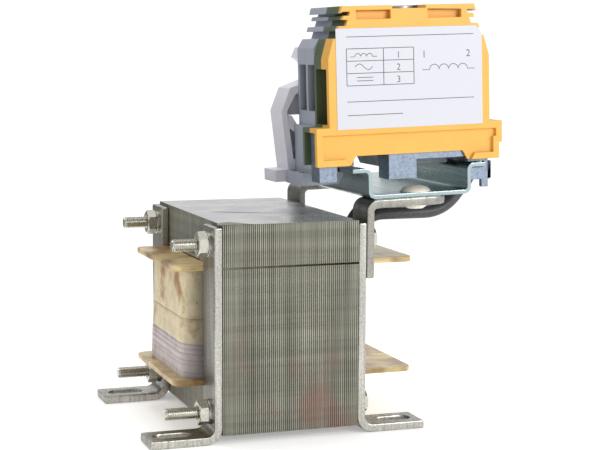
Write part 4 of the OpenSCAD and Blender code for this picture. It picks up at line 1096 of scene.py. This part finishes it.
class REACTOR_OT_label(bpy.types.Operator):
    """Builds the sticker and its generic print: rules, a small table with numbers and a choke symbol"""
    bl_idname = "reactor.label"
    bl_label = "Label"
    face = -29.12
    # Text, place and height of each printed number
    numbers = (("1", -6.0, 33.7, 2.2), ("2", -6.0, 30.8, 2.2), ("3", -6.0, 27.9, 2.2),
               ("1", 0.6, 33.5, 2.4), ("2", 12.2, 33.5, 2.4))

    def execute(self, context):
        sizes, colours = context.scene.reactor_sizes, context.scene.reactor_colours
        film = moulded_polyamide("Polyester film", colours.label, 0.35, 0.012)
        dress("rating_label", film, "label_white", mm(0.02))
        ink = moulded_polyamide("Printed ink", colours.ink, 0.5, 0.15)
        bm = bmesh.new()
        self.lines(bm, sizes.ink_line)
        for number in self.numbers:
            self.number(bm, *number)
        self.place(bm)
        finish_piece("label_print", bm, ink, "label_white")
        return {"FINISHED"}

    def lines(self, bm, width):
        """All printed lines as one flat curve, made a mesh."""
        left, right, bottom, top = -18.7, -1.5, 27.4, 36.1
        rules = [[(x, bottom), (x, top)] for x in (left, -9.3, right)]
        rules += [[(left, z), (right, z)] for z in (bottom, 30.3, 33.2, top)]
        rules += [[(left, z), (x, z)] for x, z in ((14.3, 38.9), (14.3, 23.6), (-4.5, 20.4))]
        rules += [self.choke(-16.6, 34.2, 0.75, 3), self.choke(2.6, 30.6, 1.25, 4)]
        rules += [self.wave(-16.6, 31.8), [(-16.2, 29.3), (-12.0, 29.3)], [(-16.2, 28.5), (-12.0, 28.5)]]
        curve = bpy.data.curves.new("Print", "CURVE")
        curve.dimensions = "3D"
        curve.bevel_depth = width / 2
        curve.bevel_resolution = 1
        curve.use_fill_caps = True
        for rule in rules:
            spline = curve.splines.new("POLY")
            spline.points.add(len(rule) - 1)
            for point, (x, z) in zip(spline.points, rule):
                point.co = (mm(x), 0, mm(z), 1)
        self.take(bm, curve)

    def choke(self, x, z, radius, humps):
        """Circuit symbol of a coil: a lead, round humps in a row and a lead."""
        points = [(x - radius * 1.5, z)]
        for i in range(humps):
            middle = x + radius * (2 * i + 1)
            for a in (math.radians(degrees) for degrees in range(180, -1, -20)):
                points.append((middle + radius * math.cos(a), z + radius * math.sin(a)))
        points.append((x + radius * (2 * humps + 1.5), z))
        return points

    def wave(self, x, z):
        """Circuit symbol of alternating current: one full wave."""
        return [(x + 0.3 * i, z + 0.7 * math.sin(math.radians(24 * i))) for i in range(16)]

    def number(self, bm, text, x, z, size):
        """One printed number, upright as on the sticker."""
        words = bpy.data.curves.new("Number", "FONT")
        words.body = text
        words.size = mm(size)
        words.extrude = mm(0.02)
        turn_up = Matrix.Rotation(math.pi / 2, 4, "X")
        self.take(bm, words, Matrix.Translation((mm(x), 0, mm(z))) @ turn_up)

    def take(self, bm, data, move=Matrix.Identity(4)):
        """Adds a curve or a text to the print as a mesh."""
        carrier = bpy.data.objects.new("Print", data)
        bpy.context.scene.collection.objects.link(carrier)
        mesh = bpy.data.meshes.new_from_object(carrier)
        mesh.transform(move)
        bm.from_mesh(mesh)
        bpy.data.objects.remove(carrier)
        bpy.data.meshes.remove(mesh)

    def place(self, bm):
        """Flattens the print onto the sticker and leans it with the rail."""
        bmesh.ops.remove_doubles(bm, verts=bm.verts, dist=mm(0.001))
        for v in bm.verts:
            v.co.y *= 0.1
        bmesh.ops.translate(bm, verts=bm.verts, vec=(0, mm(self.face), 0))
        on_rail(bm)


class REACTOR_OT_feed_terminals(RailTerminal, bpy.types.Operator):
    """Builds the two grey feed-through terminals and dresses their clamps"""
    bl_idname = "reactor.feed_terminals"
    bl_label = "Feed-Through Terminals"
    width = 6
    cavity = 4.8
    hood = 36.3
    floor = 20.5
    entry_low, entry_high = 21.2, 32.4
    entry_inner, entry_outer = 15.5, 24
    screw_hole = 4.4
    # Middle, half width, lowest and highest level of the wire entries, which get painted shade inside, in
    # the object's coordinates
    mouth = (mm(30.3), mm(20.4), mm(78), mm(90))

    def execute(self, context):
        sizes, colours = context.scene.reactor_sizes, context.scene.reactor_colours
        grey = moulded_polyamide("Grey polyamide", colours.grey, mouth=self.mouth)
        for node, front in (("terminal_housing_front", -19), ("terminal_housing_back", -13)):
            mould(node, self.housing(front), grey, "grey_plastic", sizes)
        paint("terminal_bars", plated_steel("Brass bars", linear("#C9A85A")))
        nickel = plated_steel("Nickel plated clamps", linear("#B9B8B0"))
        for node in ("terminal_cages", "terminal_screws"):
            dress(node, nickel, "screw_steel", mm(0.1), mm(0.3))
        return {"FINISHED"}

    def outline(self):
        """Marker ribs at both ends, feet round the rail's flanges and a keel that stands in the rail."""
        end = self.outer_end(self.hood)
        right = [(18.5, 17.6), (18.7, 17.6), (18.7, 3.2), (17.7, 3.2), (16.3, 5.4), (16.3, 6.3),
                 (17.7, 6.3), (17.7, 7.5), (13.5, 7.5), (13.5, 10.6)]
        keel = [(11.5, 10.6), (11.5, 7.1), (-7.3, 7.1), (-8.9, 10.6)]
        left = [(-13.5, 10.6), (-13.5, 7.5), (-17.7, 7.5), (-17.7, 6.3), (-16.3, 6.3), (-16.3, 5.4),
                (-17.7, 3.2), (-27.1, 3.2), (-27.1, 6.4), (-24.6, 6.4), (-24.6, 17.6), (-23.3, 17.6)]
        return self.centred(end[::-1]) + right + keel + left + self.centred(end, -1)

    def housing(self, front):
        """Housing that is open at its front, with wire entries, screw holes and a slot in the left foot."""
        inner, mid = front + self.cavity, self.middle
        end = self.inner_end(self.hood) + [(self.body - self.wall, self.floor)]
        space = self.centred(end) + self.centred(end[::-1], -1)
        cuts = [prism(space, front - 1, inner)]
        for side in (-1, 1):
            cuts.append(block((mid + side * self.entry_inner, front - 1, self.entry_low),
                              (mid + side * self.entry_outer, inner, self.entry_high)))
            hole_x = mid - 0.2 + side * self.clamp
            cuts.append(pin(hole_x, front + self.cavity / 2, 36, 48, self.screw_hole))
        cuts.append(block((-26.5, front + 0.6, 4.4), (-24.7, front + self.width - 0.6, 8)))
        return carve(prism(self.outline(), front, front + self.width), *cuts)


class REACTOR_OT_end_stop(OnRail, bpy.types.Operator):
    """Builds the end stop, an open moulding round a middle web with struts, and its screw"""
    bl_idname = "reactor.end_stop"
    bl_label = "End Stop"
    wall = 1.6
    front, back = -7, 2
    web_front, web_back = -3.4, -1.6
    boss = 16.1
    floor = 9

    def execute(self, context):
        sizes, colours = context.scene.reactor_sizes, context.scene.reactor_colours
        grey = moulded_polyamide("Light grey polyamide", colours.light_grey)
        mould("end_stop", self.moulding(), grey, "light_grey_plastic", sizes)
        screw = self.screw()
        on_rail(screw)
        bright = plated_steel("Bright screw", linear("#D2D0C8"))
        finish_piece("end_stop_screw_piece", screw, bright, "screw_steel", "end_stop_screw")
        return {"FINISHED"}

    def side(self, wall):
        """One end from the top down: head, throat, arm, apex and foot, drawn in by a wall."""
        return [(18.4 - wall, 36.6 - wall), (19.6 - wall, 34.1), (17.4 - wall, 32.4),
                (17.4 - wall, 28.6 - wall), (23.1 - wall, 26.6 - wall), (25.5 - wall, 20.9),
                (24.1 - wall, self.floor if wall else 6.4)]

    def grip(self, side):
        """Foot that reaches round the rail's flange."""
        out = 27.5 + side * self.middle
        points = [(out, 6.4), (out, 3.4), (17.7, 3.4), (16.3, 5.4), (16.3, 6.3), (17.7, 6.3),
                  (17.7, 7.5), (13.5, 7.5), (13.5, 10.6)]
        return [(side * x, z) for x, z in points]

    def moulding(self):
        """Frame and web cut from one outline, with struts on both faces and the screw's boss in front."""
        shell, space, boss = self.side(0), self.side(self.wall), self.boss
        outer = self.centred(shell) + self.grip(1) + self.grip(-1)[::-1] + self.centred(shell[::-1], -1)
        inner = self.centred(space) + self.centred(space[::-1], -1)
        low, high = self.floor - 0.2, self.floor + 5
        bm = carve(prism(outer, self.front, self.back), prism(inner, self.front - 1, self.web_front),
                   prism(inner, self.web_back, self.back + 1), *self.eyes())
        for side in (-1, 1):
            strut = self.centred([(24.6, 19.8), (22.6, 19.8), (boss + 3.8, 15.2), (boss, 15.2), (boss, 14.2),
                                  (boss + 4.3, 14.2), (24.8, 17.8)], side)
            seat = self.centred([(boss - 3, low), (boss + 3, low), (boss + 3, high), (boss - 3, high)], side)
            for start_y, end_y in ((self.front + 0.3, self.web_front), (self.web_back, self.back - 0.3)):
                join(bm, prism(strut, start_y, end_y))
            join(bm, prism(seat, self.front + 0.3, self.web_front))
        return bm

    def eyes(self):
        """Windows through the web above the struts."""
        boss = self.boss
        shape = [(22.6, 19.8), (boss, 19.8), (boss, 15.2), (boss + 3.8, 15.2)]
        return [prism(self.centred(shape, side), self.front - 1, self.back + 1) for side in (-1, 1)]

    def screw(self):
        """Round screw head with a raised rim, in front of the boss."""
        bm = bmesh.new()
        lathe(bm, [(1.6, 0), (0.7, 1.2), (0.7, 1.35), (0, 1.5), (0, 1.8), (0.2, 1.9), (2.4, 1.9), (2.4, 0)],
              segments=32)
        place = (mm(self.middle - self.boss - 5.4), mm(-5.2), mm(self.floor + 2.5))
        bmesh.ops.translate(bm, verts=bm.verts, vec=place)
        return bm


class REACTOR_OT_leads(bpy.types.Operator):
    """Builds the two sleeved leads from the coil past the rail to their clamps, and dresses their ends"""
    bl_idname = "reactor.leads"
    bl_label = "Leads"
    radius = mm(1.48)
    # Node, place along the rail at the coil and at the clamp, level under the rail and radius of the bend up
    leads = (("lead_front", -12.5, -16.6, 51.4, 11), ("lead_back", -9.2, -10.6, 54, 8.4))
    start_x, start_z = 22.2, 40
    first_bend, knee_bend, last_bend = 8, 6, 4
    sweep = 50
    swing = 8
    straight = 1
    rise = 54.4
    knee = 59.0
    entry = 26.95
    clamp_end = 13.1

    def execute(self, context):
        sleeve = braided_sleeve(context.scene.reactor_colours.sleeve)
        for node, y, clamp_y, level, bend in self.leads:
            bm = bmesh.new()
            tube(bm, (self.start_x, y, self.start_z), self.route(y - clamp_y, level, bend), self.radius)
            finish_piece(node + "_piece", bm, sleeve, "black_sleeve", node)
        paint("lead_ferrules", plated_steel("Tinned copper", linear("#CFD1D4")))
        return {"FINISHED"}

    def route(self, aside, level, bend):
        """Up from the coil, along under the rail, up past it, a step sideways and into the clamp."""
        sin, cos = math.sin(math.radians(self.sweep)), math.cos(math.radians(self.sweep))
        lean_sin, lean_cos = math.sin(math.radians(RAIL_LEAN)), math.cos(math.radians(RAIL_LEAN))
        slant = (self.knee - level - bend * (1 - cos)) / sin
        k = 4 * self.swing - aside
        step = 2 * math.degrees(math.atan((math.sqrt(self.straight ** 2 + aside * k) - self.straight) / k))
        step_sin, step_cos = math.sin(math.radians(step)), math.cos(math.radians(step))
        end_x = self.rise - self.last_bend * (1 + lean_sin)
        local = (end_x - RAIL_X + self.entry * lean_sin) / lean_cos
        end_z = RAIL_Z + local * lean_sin + self.entry * lean_cos
        upright = end_z - self.last_bend * lean_cos - self.knee - self.knee_bend * cos
        upright -= self.straight + 2 * self.swing * step_sin + self.straight * step_cos
        along = self.rise - self.start_x - self.first_bend - bend * sin - slant * cos
        along -= self.knee_bend * (1 - sin)
        return [
            (level - self.first_bend - self.start_z, 0, 0, 0),
            (0, self.first_bend, 90, 0),
            (along, 0, 0, 0),
            (0, -bend, -self.sweep, 0),
            (slant, 0, 0, 0),
            (0, -self.knee_bend, self.sweep - 90, 0),
            (self.straight, 0, 0, 0),
            (0, self.swing, step, -90),
            (self.straight, 0, 0, 0),
            (0, -self.swing, -step, 0),
            (upright, 0, 0, 90),
            (0, -self.last_bend, -90 - RAIL_LEAN, 0),
            (local - self.clamp_end, 0, 0, 0),
        ]


class REACTOR_PT_panel(bpy.types.Panel):
    """Lists the steps that build the reactor's looks"""
    bl_label = "Line Reactor"
    bl_idname = "REACTOR_PT_panel"
    bl_space_type = "VIEW_3D"
    bl_region_type = "UI"
    bl_category = "Reactor"

    def draw(self, context):
        for step in STEPS:
            self.layout.operator(step.bl_idname)
        for group in (context.scene.reactor_sizes, context.scene.reactor_colours):
            for name in group.__annotations__:
                self.layout.prop(group, name)


STEPS = (
    REACTOR_OT_stage, REACTOR_OT_core, REACTOR_OT_coil, REACTOR_OT_feet, REACTOR_OT_clamping,
    REACTOR_OT_rail, REACTOR_OT_earth_terminal, REACTOR_OT_label, REACTOR_OT_feed_terminals,
    REACTOR_OT_end_stop, REACTOR_OT_leads,
)
CLASSES = (ReactorSizes, ReactorColours, *STEPS, REACTOR_PT_panel)


def register():
    for cls in CLASSES:
        bpy.utils.register_class(cls)
    bpy.types.Scene.reactor_sizes = PointerProperty(type=ReactorSizes)
    bpy.types.Scene.reactor_colours = PointerProperty(type=ReactorColours)


def unregister():
    del bpy.types.Scene.reactor_colours
    del bpy.types.Scene.reactor_sizes
    for cls in reversed(CLASSES):
        bpy.utils.unregister_class(cls)


def main():
    register()
    for step in STEPS:
        group, name = step.bl_idname.split(".")
        getattr(getattr(bpy.ops, group), name)()


if __name__ == "__main__":
    main()
